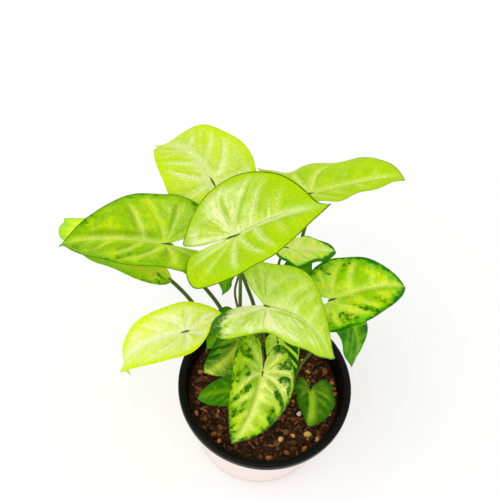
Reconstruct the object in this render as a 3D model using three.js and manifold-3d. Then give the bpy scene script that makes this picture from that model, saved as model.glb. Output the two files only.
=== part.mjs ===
// An arrowhead plant: four short shoots with arrow-shaped leaves, growing in a round nursery pot.
// Millimetres and degrees, +Z up. The origin is the centre of the pot's base, on the surface it stands on.
import * as THREE from 'three';
import { mergeVertices } from 'three/addons/utils/BufferGeometryUtils.js';
import Module from 'manifold-3d';

const wasm = await Module();
wasm.setup();

// ---- Driving dimensions -------------------------------------------------------------------------

const POT = {
  height: 76,
  rimRadius: 60,
  baseRadius: 44.5,
  wall: 1.6,
  floor: 2.4,
  lipWidth: 5,
  lipHeight: 7,
  drainHoles: 6,
  drainRadius: 3.5,
  drainCircle: 27,
  sides: 48,
};

const SOIL = {
  top: 61,
  gap: 0.3,
  rings: 11,
  crumb: 0.9,
  mound: 2.2,
  grains: 26,
  grainRadius: [1.3, 2.1],
};

const STEM = {
  radius: 3,
  tipRadius: 2.2,
  buried: 9,
  gap: 0.3,
  sides: 8,
  steps: 6,
};

const BLADE = {
  thickness: 0.8,
  spokes: 12,
  rings: [0.36, 0.7, 1],
  rippleCount: 2,
  hookStart: 0.8,
};

const PETIOLE = {
  tipRadius: 0.6,
  tipRadiusPerLength: 0.01,
  footFactor: 1.4,
  sides: 6,
  steps: 12,
  gap: 0.5,
  rise: 9,
  approach: [-3, 0, -9],
};

// Each shoot: where its foot stands, how far its top leans, and how high it reaches above the soil.
const STEMS = {
  west: { foot: [-13, 3], lean: [-2, 0], height: 20 },
  north: { foot: [1, 13], lean: [0, 2], height: 18 },
  south: { foot: [-4, -11], lean: [0, -3], height: 17 },
  east: { foot: [12, -1], lean: [3, 0], height: 16 },
};

// One half of the leaf's outline, from the drip tip (1, 0) round the lobe and back to the petiole (0, 0).
// The first value runs along the midrib in blade lengths (ahead) or lobe lengths (behind), the second
// across in half widths.
const HALF_OUTLINE = [
  [1, 0], [0.955, 0.04], [0.88, 0.15], [0.72, 0.46], [0.5, 0.77],
  [0.25, 0.95], [0, 1], [-0.35, 0.94], [-0.68, 0.8], [-0.92, 0.6],
  [-1, 0.42], [-0.92, 0.24], [-0.62, 0.1], [-0.28, 0.03], [0, 0],
];
const LOBE_END = 10;
const WAIST = { at: -0.1, width: 0.28 };

// Every leaf. stem, side and rise: its shoot, the side of the shoot that it grows from, and the height
// of its foot above the soil. via: points that the petiole passes. at: where petiole and blade meet.
// heading, pitch, roll: which way the midrib points, how far it starts upward, and its lean to a side.
// length, halves, lobes: from petiole to tip, and the width and lobe length of the left and right half.
// arch: how far the midrib turns down; sway: how far it turns left. lift: how far each lobe turns up.
// fold, curl: how steeply each half rises beside the midrib, and how far it turns down to its edge.
// full: below 1 the half keeps its width towards the tip, above 1 it tapers sooner. waist: how much
// narrower the half is beside the petiole. gape: how far the lobe stands off from the midrib's line.
// ripple, phase: the height of the waves along the margin, which fade out on the lobes, and where they
// start. hook: how far the drip tip is bent ahead, to the left and up.
const LEAVES = [
  {
    name: 'leaf_back_left', stem: 'north', side: 150, rise: 5, via: [[-15, 25, 140], [-22, 32, 155]],
    at: [-50, 64, 218], heading: 126, pitch: 15, roll: 1, length: 63, halves: [28, 27], lobes: [29, 33],
    arch: 83, sway: 19, lift: [10, 10], fold: [16, 24], curl: [24, 2], full: [1, 1.05],
    waist: [-0.05, -0.05], gape: [0, 0], ripple: 1.6, phase: 5.9, hook: [5, 0, 2],
  },
  {
    name: 'leaf_left', stem: 'west', side: 130, rise: 9, via: [[-33, 15, 140], [-48, 15, 175]],
    at: [-70, 8, 229], heading: 180, pitch: 6, roll: 14, length: 66, halves: [36, 38], lobes: [40, 28],
    arch: 37, sway: -8, lift: [-3, 10], fold: [22, 19], curl: [1, 24], full: [1.1, 1.05],
    waist: [0.1, 0], gape: [-0.1, 0.25], ripple: 0.9, phase: 1.9, hook: [-1, 1, -1],
  },
  {
    name: 'leaf_left_under', stem: 'west', side: 185, rise: 4, via: [[-52, 22, 132], [-69, 20, 168]],
    at: [-80, 17, 200], heading: 148, pitch: -18, roll: 28, length: 81, halves: [44, 20], lobes: [29, 9],
    arch: 12, sway: -3, lift: [-19, -32], fold: [13, 17], curl: [6, 21], full: [0.95, 0.6],
    waist: [0.05, 0.2], gape: [0, 0], ripple: 1.5, phase: 3.7, hook: [0, -1, 1],
  },
  {
    name: 'leaf_centre', stem: 'west', side: 60, rise: 7, via: [[-21, 10, 135], [-25, 8, 195]],
    at: [-29, -3, 265], heading: 27, pitch: 30, roll: -13, length: 51, halves: [40, 29], lobes: [34, 35],
    arch: 7, sway: -27, lift: [-22, -6], fold: [6, 11], curl: [13, 6], full: [1.25, 0.6],
    waist: [-0.05, 0.05], gape: [0.18, -0.5], ripple: 0.5, phase: 5.0, hook: [3, 0, 0],
  },
  {
    name: 'leaf_low_left', stem: 'west', side: 245, rise: 4, via: [[-28, 2, 104], [-49, -3, 148]],
    at: [-54, -24, 186], heading: 189, pitch: -19, roll: 12, length: 69, halves: [24, 17], lobes: [29, 23],
    arch: 70, sway: -18, lift: [55, -9], fold: [20, 37], curl: [10, -1], full: [0.9, 1.05],
    waist: [0, -0.05], gape: [-0.1, 0.05], ripple: 0.6, phase: 2, hook: [-3, 4, -4],
  },
  {
    name: 'leaf_front_right', stem: 'east', side: 160, rise: 6, via: [[-3, 1, 130], [-11, -13, 192]],
    at: [-9, -25, 231], heading: 3, pitch: -7, roll: -18, length: 56, halves: [42, 38], lobes: [15, 30],
    arch: 68, sway: -17, lift: [15, -42], fold: [8, 13], curl: [8, 2], full: [0.75, 0.85],
    waist: [0.25, 0.35], gape: [0.25, -0.1], ripple: 1.4, phase: 2.6, hook: [2, 2, 3],
  },
  {
    name: 'leaf_right', stem: 'east', side: 60, rise: 7, via: [[14, 5, 120], [21, 3, 165]],
    at: [31, 3, 199], heading: 25, pitch: 23, roll: -10, length: 53, halves: [29, 25], lobes: [12, 17],
    arch: 65, sway: 7, lift: [19, 4], fold: [19, 16], curl: [38, 18], full: [1.05, 1.05],
    waist: [0.05, 0], gape: [0.15, -0.1], ripple: 1.1, phase: 0.5, hook: [-2, 0, 0],
  },
  {
    name: 'leaf_back_small', stem: 'north', side: 90, rise: 8, via: [[-2, 25, 135]],
    at: [1, 40, 190], heading: 6, pitch: -5, roll: -18, length: 35, halves: [22, 23], lobes: [17, 12],
    arch: 5, sway: 11, lift: [15, 22], fold: [10, 24], curl: [60, 19], full: [0.95, 1],
    waist: [-0.05, -0.05], gape: [0, 0], ripple: 2.5, phase: 2, hook: [-4, 0, -1],
  },
  {
    name: 'leaf_back_right', stem: 'north', side: 40, rise: 6, via: [[6, 40, 130], [11, 61, 185]],
    at: [10, 53, 232], heading: 20, pitch: 11, roll: -40, length: 58, halves: [37, 23], lobes: [35, 24],
    arch: 0, sway: -26, lift: [55, 10], fold: [21, -2], curl: [25, -1], full: [0.85, 0.6],
    waist: [-0.05, 0.3], gape: [0.25, 0], ripple: 1.4, phase: 0.5, hook: [-3, -1, -3],
  },
  {
    name: 'leaf_front', stem: 'south', side: 270, rise: 7, via: [[-3, -23, 112], [-5, -32, 145]],
    at: [-6, -43, 183], heading: 271, pitch: -17, roll: -35, length: 49, halves: [26, 25], lobes: [19, 24],
    arch: 57, sway: -4, lift: [4, -16], fold: [7, 18], curl: [25, 15], full: [0.95, 1],
    waist: [-0.05, 0], gape: [0, 0], ripple: 0.3, phase: 5.3, hook: [-1, 1, 0],
  },
  {
    name: 'leaf_front_under', stem: 'south', side: 190, rise: 5, via: [[-9, -6, 104], [-17, -11, 140]],
    at: [-20, -17, 170], heading: 238, pitch: -23, roll: -43, length: 35, halves: [18, 18], lobes: [8, 12],
    arch: 51, sway: -2, lift: [10, 10], fold: [14, 25], curl: [28, 12], full: [1, 1],
    waist: [0, 0], gape: [0, 0], ripple: 1.3, phase: 1, hook: [-1, 0, 0],
  },
  {
    name: 'leaf_ground_left', stem: 'south', side: 235, rise: 2, via: [[-11, -18, 82]],
    at: [-18, -21, 106], heading: 186, pitch: -13, roll: 17, length: 32, halves: [16, 14], lobes: [9, 9],
    arch: 26, sway: -5, lift: [10, 10], fold: [19, 14], curl: [14, 25], full: [1, 0.95],
    waist: [0.05, 0], gape: [0, 0], ripple: 0.3, phase: 3.1, hook: [-2, 0, 0],
  },
  {
    name: 'leaf_ground_right', stem: 'east', side: 305, rise: 2, via: [[22, -6, 80]],
    at: [30, -9, 93], heading: 284, pitch: -8, roll: -27, length: 26, halves: [20, 16], lobes: [8, 9],
    arch: 25, sway: -17, lift: [17, 11], fold: [17, 22], curl: [28, 14], full: [0.95, 1.05],
    waist: [0.05, -0.05], gape: [0.2, 0.15], ripple: 1.4, phase: 4.3, hook: [-1, 1, 1],
  },
  {
    name: 'leaf_right_under', stem: 'east', side: 0, rise: 5, via: [[21, 1, 108], [31, 7, 140]],
    at: [45, 10, 167], heading: 315, pitch: -38, roll: -25, length: 40, halves: [23, 26], lobes: [18, 18],
    arch: 58, sway: 14, lift: [10, 10], fold: [3, 13], curl: [24, 5], full: [1.05, 0.95],
    waist: [0, 0.05], gape: [0, 0], ripple: 1.4, phase: 0.2, hook: [-1, 0, 0],
  },
  {
    name: 'leaf_hidden_tip', stem: 'north', side: 195, rise: 4, via: [[-18, 20, 115], [-28, 24, 155]],
    at: [-32, 22, 196], heading: 254, pitch: -39, roll: 30, length: 23, halves: [11, 12], lobes: [8, 6],
    arch: 31, sway: -7, lift: [10, 10], fold: [25, 8], curl: [3, 22], full: [0.95, 1],
    waist: [0, 0], gape: [0, 0], ripple: 1.4, phase: 3.4, hook: [1, -1, 1],
  },
  {
    name: 'leaf_under_lobe', stem: 'south', side: 120, rise: 6, via: [[-13, 1, 108]],
    at: [-26, 3, 156], heading: 217, pitch: -22, roll: 8, length: 28, halves: [12, 12], lobes: [8, 4],
    arch: 40, sway: 0, lift: [10, 10], fold: [15, 15], curl: [10, 10], full: [1, 1],
    waist: [0, 0], gape: [0, 0], ripple: 1.2, phase: 4.9, hook: [0, 0, 0],
  },
  {
    name: 'leaf_between', stem: 'south', side: 20, rise: 4, via: [[3, -9, 115]],
    at: [2, -13, 166], heading: 283, pitch: -22, roll: 5, length: 34, halves: [13, 8], lobes: [11, 6],
    arch: 40, sway: 0, lift: [10, 10], fold: [20, 15], curl: [15, 15], full: [1, 1],
    waist: [0, 0], gape: [0, 0], ripple: 1.2, phase: 0.6, hook: [0, 0, 0],
  },
  {
    name: 'leaf_back_under', stem: 'north', side: 350, rise: 3, via: [[11, 17, 105], [14, 28, 150]],
    at: [10, 36, 180], heading: 290, pitch: -35, roll: -10, length: 28, halves: [8, 12], lobes: [5, 5],
    arch: 40, sway: 0, lift: [10, 10], fold: [15, 15], curl: [15, 15], full: [1, 1],
    waist: [0, 0], gape: [0, 0], ripple: 1.2, phase: 2.6, hook: [0, 0, 0],
  },
];

const COLOURS = {
  pot: new THREE.Color(0.88, 0.8, 0.78),
  soil: new THREE.Color(0.13, 0.09, 0.06),
  stem: new THREE.Color(0.25, 0.38, 0.12),
  leaf: new THREE.Color(0.5, 0.72, 0.14),
};

// ---- Solids: from a geometry to a manifold and back ---------------------------------------------

function toManifold(geometry) {
  const bare = geometry.clone();
  bare.deleteAttribute('normal');
  bare.deleteAttribute('uv');
  const merged = mergeVertices(bare, 1e-4);
  const mesh = new wasm.Mesh({
    numProp: 3,
    vertProperties: new Float32Array(merged.attributes.position.array),
    triVerts: new Uint32Array(merged.index.array),
  });
  return new wasm.Manifold(mesh);
}

function toGeometry(manifold) {
  const mesh = manifold.getMesh();
  const geometry = new THREE.BufferGeometry();
  geometry.setAttribute('position', new THREE.BufferAttribute(mesh.vertProperties, 3));
  geometry.setIndex(new THREE.BufferAttribute(mesh.triVerts, 1));
  return geometry;
}

function indexedGeometry(points, triangles) {
  const geometry = new THREE.BufferGeometry().setFromPoints(points);
  geometry.setIndex(triangles);
  return geometry;
}

function addMesh(group, name, geometry, colour, roughness) {
  const material = new THREE.MeshStandardMaterial({ color: colour, roughness, metalness: 0 });
  const mesh = new THREE.Mesh(geometry, material);
  mesh.name = name;
  group.add(mesh);
}

// A repeatable random number between 0 and 1 for each call.
function seededRandom(seed) {
  let state = seed;
  return () => {
    state = (state * 16807) % 2147483647;
    return state / 2147483647;
  };
}

// A closed tube along a curve: radiusAt(t) gives its radius from t = 0 to t = 1.
function taperedTube(curve, radiusAt, sides, steps) {
  const frames = curve.computeFrenetFrames(steps, false);
  const points = [];
  const triangles = [];
  for (let i = 0; i <= steps; i += 1) {
    const centre = curve.getPointAt(i / steps);
    for (let j = 0; j < sides; j += 1) {
      const angle = (2 * Math.PI * j) / sides;
      const radius = radiusAt(i / steps);
      const point = centre.clone();
      point.addScaledVector(frames.normals[i], radius * Math.cos(angle));
      point.addScaledVector(frames.binormals[i], radius * Math.sin(angle));
      points.push(point);
    }
  }
  for (let i = 0; i < steps; i += 1) {
    for (let j = 0; j < sides; j += 1) {
      const a = i * sides + j;
      const b = i * sides + ((j + 1) % sides);
      triangles.push(a, b, b + sides, a, b + sides, a + sides);
    }
  }
  const last = steps * sides;
  for (let j = 1; j < sides - 1; j += 1) {
    triangles.push(0, j + 1, j, last, last + j, last + j + 1);
  }
  return indexedGeometry(points, triangles);
}

// ---- Pot and soil -------------------------------------------------------------------------------

const innerRadiusAt = (z) => {
  const slope = (POT.rimRadius - POT.lipWidth - POT.baseRadius + 2) / POT.height;
  return POT.baseRadius - POT.wall + slope * z;
};

function makePot() {
  const { height, rimRadius, wall, floor, lipWidth, lipHeight } = POT;
  const lipBottom = height - lipHeight;
  const outerAt = (z) => innerRadiusAt(z) + wall;
  const lipRound = lipWidth / 4;
  const profile = [
    [0, 0],
    [outerAt(0) - 1, 0],
    [outerAt(1), 1],
    [outerAt(lipBottom), lipBottom],
    [rimRadius - 0.8, lipBottom],
    [rimRadius, lipBottom + 1.5],
    [rimRadius, height - lipRound],
    [rimRadius - lipRound, height],
    [rimRadius - lipWidth + lipRound, height],
    [innerRadiusAt(height - 3), height - 3],
    [innerRadiusAt(floor), floor],
    [0, floor],
  ].map(([radius, z]) => new THREE.Vector2(radius, z));
  const shell = new THREE.LatheGeometry(profile, POT.sides).rotateX(Math.PI / 2);
  let pot = toManifold(shell);
  for (let i = 0; i < POT.drainHoles; i += 1) {
    const angle = (2 * Math.PI * i) / POT.drainHoles;
    const hole = new THREE.CylinderGeometry(POT.drainRadius, POT.drainRadius, 3 * floor, 16);
    hole.rotateX(Math.PI / 2);
    hole.translate(POT.drainCircle * Math.cos(angle), POT.drainCircle * Math.sin(angle), 0);
    pot = pot.subtract(toManifold(hole));
  }
  return toGeometry(pot);
}

// The soil's surface: a low mound, crumbs of a few sizes, and a rim that dips at the wall.
function soilHeight(x, y) {
  const r = Math.hypot(x, y) / innerRadiusAt(SOIL.top);
  const mound = SOIL.mound * (1 - r * r);
  const coarse = Math.sin(0.31 * x + 1.3) * Math.cos(0.27 * y - 0.4);
  const fine = Math.sin(0.83 * x - 0.71 * y) * Math.cos(0.64 * x + 0.9 * y + 2);
  return SOIL.top + mound + SOIL.crumb * (coarse + 0.6 * fine) * (1 - r ** 6);
}

function makeSoil() {
  const { rings, gap, top } = SOIL;
  const sides = POT.sides;
  const outer = innerRadiusAt(top) - gap;
  const bottom = POT.floor + gap;
  const points = [new THREE.Vector3(0, 0, soilHeight(0, 0))];
  const triangles = [];
  const at = (ring, j) => 1 + (ring - 1) * sides + (j % sides);
  const addRing = (radius, heightAt) => {
    for (let j = 0; j < sides; j += 1) {
      const angle = (2 * Math.PI * j) / sides;
      const x = radius * Math.cos(angle);
      const y = radius * Math.sin(angle);
      points.push(new THREE.Vector3(x, y, heightAt(x, y)));
    }
  };
  for (let ring = 1; ring <= rings; ring += 1) {
    addRing((outer * ring) / rings, soilHeight);
  }
  addRing(innerRadiusAt(bottom) - gap, () => bottom);
  points.push(new THREE.Vector3(0, 0, bottom));
  const last = points.length - 1;
  for (let j = 0; j < sides; j += 1) {
    triangles.push(0, at(1, j), at(1, j + 1));
    triangles.push(last, at(rings + 1, j + 1), at(rings + 1, j));
    for (let ring = 1; ring <= rings; ring += 1) {
      triangles.push(at(ring, j), at(ring + 1, j), at(ring + 1, j + 1));
      triangles.push(at(ring, j), at(ring + 1, j + 1), at(ring, j + 1));
    }
  }
  let soil = toManifold(indexedGeometry(points, triangles));
  soil = soil.add(makeGrains(outer));
  for (const { foot } of Object.values(STEMS)) {
    const depth = STEM.buried + STEM.gap;
    const radius = STEM.radius + STEM.gap;
    const hole = new THREE.CylinderGeometry(radius, radius, 3 * depth, 16).rotateX(Math.PI / 2);
    hole.translate(foot[0], foot[1], top + 0.5 * depth);
    soil = soil.subtract(toManifold(hole));
  }
  return toGeometry(soil);
}

// Mineral grains half sunk in the soil, clear of the shoots.
function makeGrains(outer) {
  const random = seededRandom(11);
  const [smallest, largest] = SOIL.grainRadius;
  const grains = [];
  while (grains.length < SOIL.grains) {
    const reach = (outer - 2 * largest) * Math.sqrt(random());
    const angle = 2 * Math.PI * random();
    const x = reach * Math.cos(angle);
    const y = reach * Math.sin(angle);
    const radius = smallest + (largest - smallest) * random();
    const clear = Object.values(STEMS).every(({ foot }) => Math.hypot(x - foot[0], y - foot[1]) > 10);
    if (clear) {
      const grain = new THREE.OctahedronGeometry(radius).rotateZ(angle);
      grain.scale(1.2, 0.9, 0.7);
      grain.translate(x, y, soilHeight(x, y));
      grains.push(toManifold(grain));
    }
  }
  return wasm.Manifold.union(grains);
}

// ---- Shoots -------------------------------------------------------------------------------------

function stemCurve({ foot, lean, height }) {
  const [x, y] = foot;
  return new THREE.CatmullRomCurve3([
    new THREE.Vector3(x, y, SOIL.top - STEM.buried),
    new THREE.Vector3(x, y, SOIL.top + 3),
    new THREE.Vector3(x + 0.4 * lean[0], y + 0.4 * lean[1], SOIL.top + 0.6 * height),
    new THREE.Vector3(x + lean[0], y + lean[1], SOIL.top + height),
  ]);
}

function makeStem(stem) {
  const radiusAt = (t) => {
    const taper = STEM.radius + (STEM.tipRadius - STEM.radius) * t;
    return t > 0.99 ? 0.6 * taper : taper;
  };
  return taperedTube(stemCurve(stem), radiusAt, STEM.sides, STEM.steps);
}

// ---- Leaves -------------------------------------------------------------------------------------

// The outline of one half, with that half's own fullness, waist and gape.
function halfOutline(leaf, side) {
  const gape = leaf.gape[side];
  const points = HALF_OUTLINE.map(([u, v], i) => {
    const pinch = 1 - leaf.waist[side] * Math.exp(-(((u - WAIST.at) / WAIST.width) ** 2));
    if (i > LOBE_END) {
      return new THREE.Vector2(u, v - gape * u);
    }
    const width = (u > 0 ? v ** leaf.full[side] : v) * pinch;
    return new THREE.Vector2(u, i === LOBE_END ? width + gape / 2 : width);
  });
  return new THREE.SplineCurve(points);
}

// How far an arc that turns by `turn` over each unit of length has gone ahead and down after `s`.
function arc(turn, s) {
  if (Math.abs(turn) < 1e-6) {
    return { ahead: s, down: 0, angle: 0 };
  }
  const angle = turn * s;
  return { ahead: Math.sin(angle) / turn, down: (1 - Math.cos(angle)) / turn, angle };
}

// The bent blade's point that lies u ahead of the petiole and v to the side on the flat leaf.
function bladePoint(leaf, side, u, v) {
  const rad = THREE.MathUtils.degToRad;
  const width = leaf.halves[side];
  const fold = rad(leaf.fold[side]);
  const curl = rad(leaf.curl[side]) / width + 1e-7;
  const turn = u >= 0 ? rad(leaf.arch) / leaf.length : -rad(leaf.lift[side]) / leaf.lobes[side];
  const { ahead, down, angle } = arc(turn, u);
  const across = ((Math.sin(fold) - Math.sin(fold - curl * v)) / curl) * (side === 0 ? 1 : -1);
  const wave = Math.sin((2 * Math.PI * BLADE.rippleCount * u) / leaf.length + leaf.phase + side);
  const fade = Math.min(1 + u / leaf.lobes[side], 1);
  const ripple = leaf.ripple * wave * fade * (v / width) ** 2;
  const raised = (Math.cos(fold - curl * v) - Math.cos(fold)) / curl + ripple;
  const bow = arc(rad(leaf.sway) / leaf.length, Math.max(u, 0));
  const shift = u > 0 ? bow.ahead - u : 0;
  const bent = Math.max(u / leaf.length - BLADE.hookStart, 0) / (1 - BLADE.hookStart);
  return new THREE.Vector3(
    ahead + shift + raised * Math.sin(angle) - across * Math.sin(bow.angle) * Math.cos(angle),
    bow.down + across * Math.cos(bow.angle),
    -down + raised * Math.cos(angle) + across * Math.sin(bow.angle) * Math.sin(angle),
  ).addScaledVector(new THREE.Vector3(...leaf.hook), bent ** 2);
}

function leafMatrix(leaf) {
  const rad = THREE.MathUtils.degToRad;
  return new THREE.Matrix4()
    .makeTranslation(...leaf.at)
    .multiply(new THREE.Matrix4().makeRotationZ(rad(leaf.heading)))
    .multiply(new THREE.Matrix4().makeRotationY(-rad(leaf.pitch)))
    .multiply(new THREE.Matrix4().makeRotationX(rad(leaf.roll)));
}

// The blade's middle surface: spokes from the petiole to the outline, left lobe to tip to right lobe.
function bladeSheet(leaf) {
  const { spokes, rings } = BLADE;
  const outlines = [0, 1].map((side) => halfOutline(leaf, side));
  const matrix = leafMatrix(leaf);
  const points = [new THREE.Vector3().applyMatrix4(matrix)];
  for (let k = 1 - spokes; k < spokes; k += 1) {
    const side = k <= 0 ? 0 : 1;
    const edge = outlines[side].getPoint(Math.abs(k) / spokes);
    const reach = edge.x >= 0 ? leaf.length : leaf.lobes[side];
    for (const ring of rings) {
      const point = bladePoint(leaf, side, ring * edge.x * reach, ring * edge.y * leaf.halves[side]);
      points.push(point.applyMatrix4(matrix));
    }
  }
  const count = rings.length;
  const at = (spoke, ring) => 1 + spoke * count + ring;
  const lastSpoke = 2 * spokes - 2;
  const triangles = [];
  for (let s = 0; s < lastSpoke; s += 1) {
    triangles.push(0, at(s + 1, 0), at(s, 0));
    for (let r = 0; r < count - 1; r += 1) {
      triangles.push(at(s, r), at(s + 1, r), at(s + 1, r + 1));
      triangles.push(at(s, r), at(s + 1, r + 1), at(s, r + 1));
    }
  }
  const border = [0];
  for (let r = 0; r < count; r += 1) {
    border.push(at(0, r));
  }
  for (let s = 1; s < lastSpoke; s += 1) {
    border.push(at(s, count - 1));
  }
  for (let r = count - 1; r >= 0; r -= 1) {
    border.push(at(lastSpoke, r));
  }
  return { points, triangles, border };
}

// A sheet given a thickness: the same triangles on both faces, and a wall round the border.
function thicken({ points, triangles, border }, thickness) {
  const sheet = indexedGeometry(points, triangles);
  sheet.computeVertexNormals();
  const normals = sheet.attributes.normal;
  const offset = (point, i, distance) => {
    const normal = new THREE.Vector3().fromBufferAttribute(normals, i);
    return point.clone().addScaledVector(normal, distance);
  };
  const upper = points.map((point, i) => offset(point, i, thickness / 2));
  const lower = points.map((point, i) => offset(point, i, -thickness / 2));
  const under = points.length;
  const solid = [...triangles];
  for (let i = 0; i < triangles.length; i += 3) {
    solid.push(triangles[i] + under, triangles[i + 2] + under, triangles[i + 1] + under);
  }
  border.forEach((a, i) => {
    const b = border[(i + 1) % border.length];
    solid.push(a, b, b + under, a, b + under, a + under);
  });
  return indexedGeometry([...upper, ...lower], solid);
}

function petioleCurve(leaf) {
  const stem = STEMS[leaf.stem];
  const angle = THREE.MathUtils.degToRad(leaf.side);
  const z = SOIL.top + leaf.rise + SOIL.mound;
  const reach = STEM.radius + footRadius(leaf) + PETIOLE.gap;
  const foot = new THREE.Vector3(stem.foot[0], stem.foot[1], z);
  foot.x += reach * Math.cos(angle);
  foot.y += reach * Math.sin(angle);
  const above = foot.clone();
  above.x += 0.35 * stem.lean[0] + 0.8 * Math.cos(angle);
  above.y += 0.35 * stem.lean[1] + 0.8 * Math.sin(angle);
  above.z += PETIOLE.rise;
  const matrix = leafMatrix(leaf);
  const approach = new THREE.Vector3(...PETIOLE.approach).applyMatrix4(matrix);
  const via = leaf.via.map((point) => new THREE.Vector3(...point));
  return new THREE.CatmullRomCurve3([foot, above, ...via, approach, new THREE.Vector3(...leaf.at)]);
}

const tipRadius = (leaf) => PETIOLE.tipRadius + PETIOLE.tipRadiusPerLength * leaf.length;
const footRadius = (leaf) => PETIOLE.footFactor * tipRadius(leaf);

function makeLeaf(leaf) {
  const blade = toManifold(thicken(bladeSheet(leaf), BLADE.thickness));
  const radiusAt = (t) => footRadius(leaf) + (tipRadius(leaf) - footRadius(leaf)) * t;
  const petiole = toManifold(taperedTube(petioleCurve(leaf), radiusAt, PETIOLE.sides, PETIOLE.steps));
  return toGeometry(blade.add(petiole));
}

// ---- The plant ----------------------------------------------------------------------------------

const plant = new THREE.Group();
addMesh(plant, 'pot', makePot(), COLOURS.pot, 0.4);
addMesh(plant, 'soil', makeSoil(), COLOURS.soil, 0.95);
for (const [place, stem] of Object.entries(STEMS)) {
  addMesh(plant, `stem_${place}`, makeStem(stem), COLOURS.stem, 0.5);
}
for (const leaf of LEAVES) {
  addMesh(plant, leaf.name, makeLeaf(leaf), COLOURS.leaf, 0.4);
}

export default plant;
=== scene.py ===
"""The looks of an arrowhead plant and its nursery pot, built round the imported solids.

Metres and the frame of the solids throughout. Every leaf is a flat arrow-shaped sheet that a Geometry Nodes
tree bends, and its markings are drawn in the sheet's own outline units: u runs along the midrib, from the
lobe tips (-1) over the leafstalk (0) to the drip tip (1), and v across, from the right edge (-1) to the
left (1).
"""

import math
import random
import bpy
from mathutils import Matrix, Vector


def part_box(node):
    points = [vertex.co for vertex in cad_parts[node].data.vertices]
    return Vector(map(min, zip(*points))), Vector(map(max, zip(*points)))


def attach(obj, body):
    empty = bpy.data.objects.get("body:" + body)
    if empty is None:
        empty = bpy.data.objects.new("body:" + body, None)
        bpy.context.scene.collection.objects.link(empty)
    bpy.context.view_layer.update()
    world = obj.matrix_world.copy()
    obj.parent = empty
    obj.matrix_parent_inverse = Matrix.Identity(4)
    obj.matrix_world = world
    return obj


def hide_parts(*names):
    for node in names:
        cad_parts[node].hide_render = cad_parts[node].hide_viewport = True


bl_info = {
    "name": "Arrowhead plant",
    "version": (1, 0, 0),
    "blender": (4, 5, 0),
    "location": "3D Viewport > Sidebar > Arrowhead plant",
    "description": "Builds the visible surfaces of a potted arrowhead plant round its packed solids",
    "category": "Object",
}

import bmesh
import bpy
from bpy.props import FloatProperty, FloatVectorProperty, IntProperty, PointerProperty
from mathutils import Euler, Matrix, Vector, noise

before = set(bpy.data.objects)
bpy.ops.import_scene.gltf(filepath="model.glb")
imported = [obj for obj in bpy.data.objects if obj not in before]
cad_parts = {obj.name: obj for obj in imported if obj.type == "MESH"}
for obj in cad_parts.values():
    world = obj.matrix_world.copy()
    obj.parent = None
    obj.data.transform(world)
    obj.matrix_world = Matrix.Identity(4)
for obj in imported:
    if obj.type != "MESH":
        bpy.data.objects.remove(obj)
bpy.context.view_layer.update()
BODY = "root"


def rgb(red, green, blue):
    """A colour given as 0 to 255 on the screen, as the linear values that Blender works with."""
    shares = (value / 255 for value in (red, green, blue))
    return tuple(s / 12.92 if s <= 0.04045 else ((s + 0.055) / 1.055) ** 2.4 for s in shares)


# ---- Driving values ------------------------------------------------------------------------------

# One half of the leaf's outline in (u, v), from the drip tip round the lobe and back to the leafstalk.
HALF_OUTLINE = (
    (1, 0), (0.955, 0.04), (0.88, 0.15), (0.72, 0.46), (0.5, 0.77),
    (0.25, 0.95), (0, 1), (-0.35, 0.94), (-0.68, 0.8), (-0.92, 0.6),
    (-1, 0.42), (-0.92, 0.24), (-0.62, 0.1), (-0.28, 0.03), (0, 0),
)
LOBE_END = 10
WAIST_AT = -0.1
WAIST_WIDTH = 0.28

# Every leaf, and what it has where its row says nothing else. Pairs are for its left and its right half.
# stem, side, rise: its shoot, the side of the shoot that it grows from, and its foot's height above the soil.
# via: points that the leafstalk passes. at: where it meets the blade. turn: the blade's roll, downward pitch
# and heading. length, half, lobe: from the leafstalk to the tip, the half's width, and its lobe's length.
# arch, sway: how far the midrib turns down and left. lift: how far each lobe turns up. fold, curl: how
# steeply each half rises from the midrib, and how far it turns down to its edge. full: below 1 it keeps its
# width towards the tip, above 1 it tapers sooner. waist: how much narrower it is beside the leafstalk. gape:
# how far the lobe stands off from the midrib's line. ripple, phase: the height of the waves along the margin
# and where they start. hook: how far the drip tip is bent ahead, to the left and up. finish, look: the leaf's
# finish and what differs from it. knuckle: length of the stalk's swollen end.
# In look, brightness is painted light: it lightens a leaf that lies in shade and darkens one in full light.
# In look, relief sets how far the painted shade beside the veins and the midrib darkens the leaf.
PLAIN_LEAF = dict(
    lift=(10, 10), full=(1, 1), waist=(0, 0), gape=(0, 0), hook=(0, 0, 0), finish="green", knuckle=0.001,
    look={},
)
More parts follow.
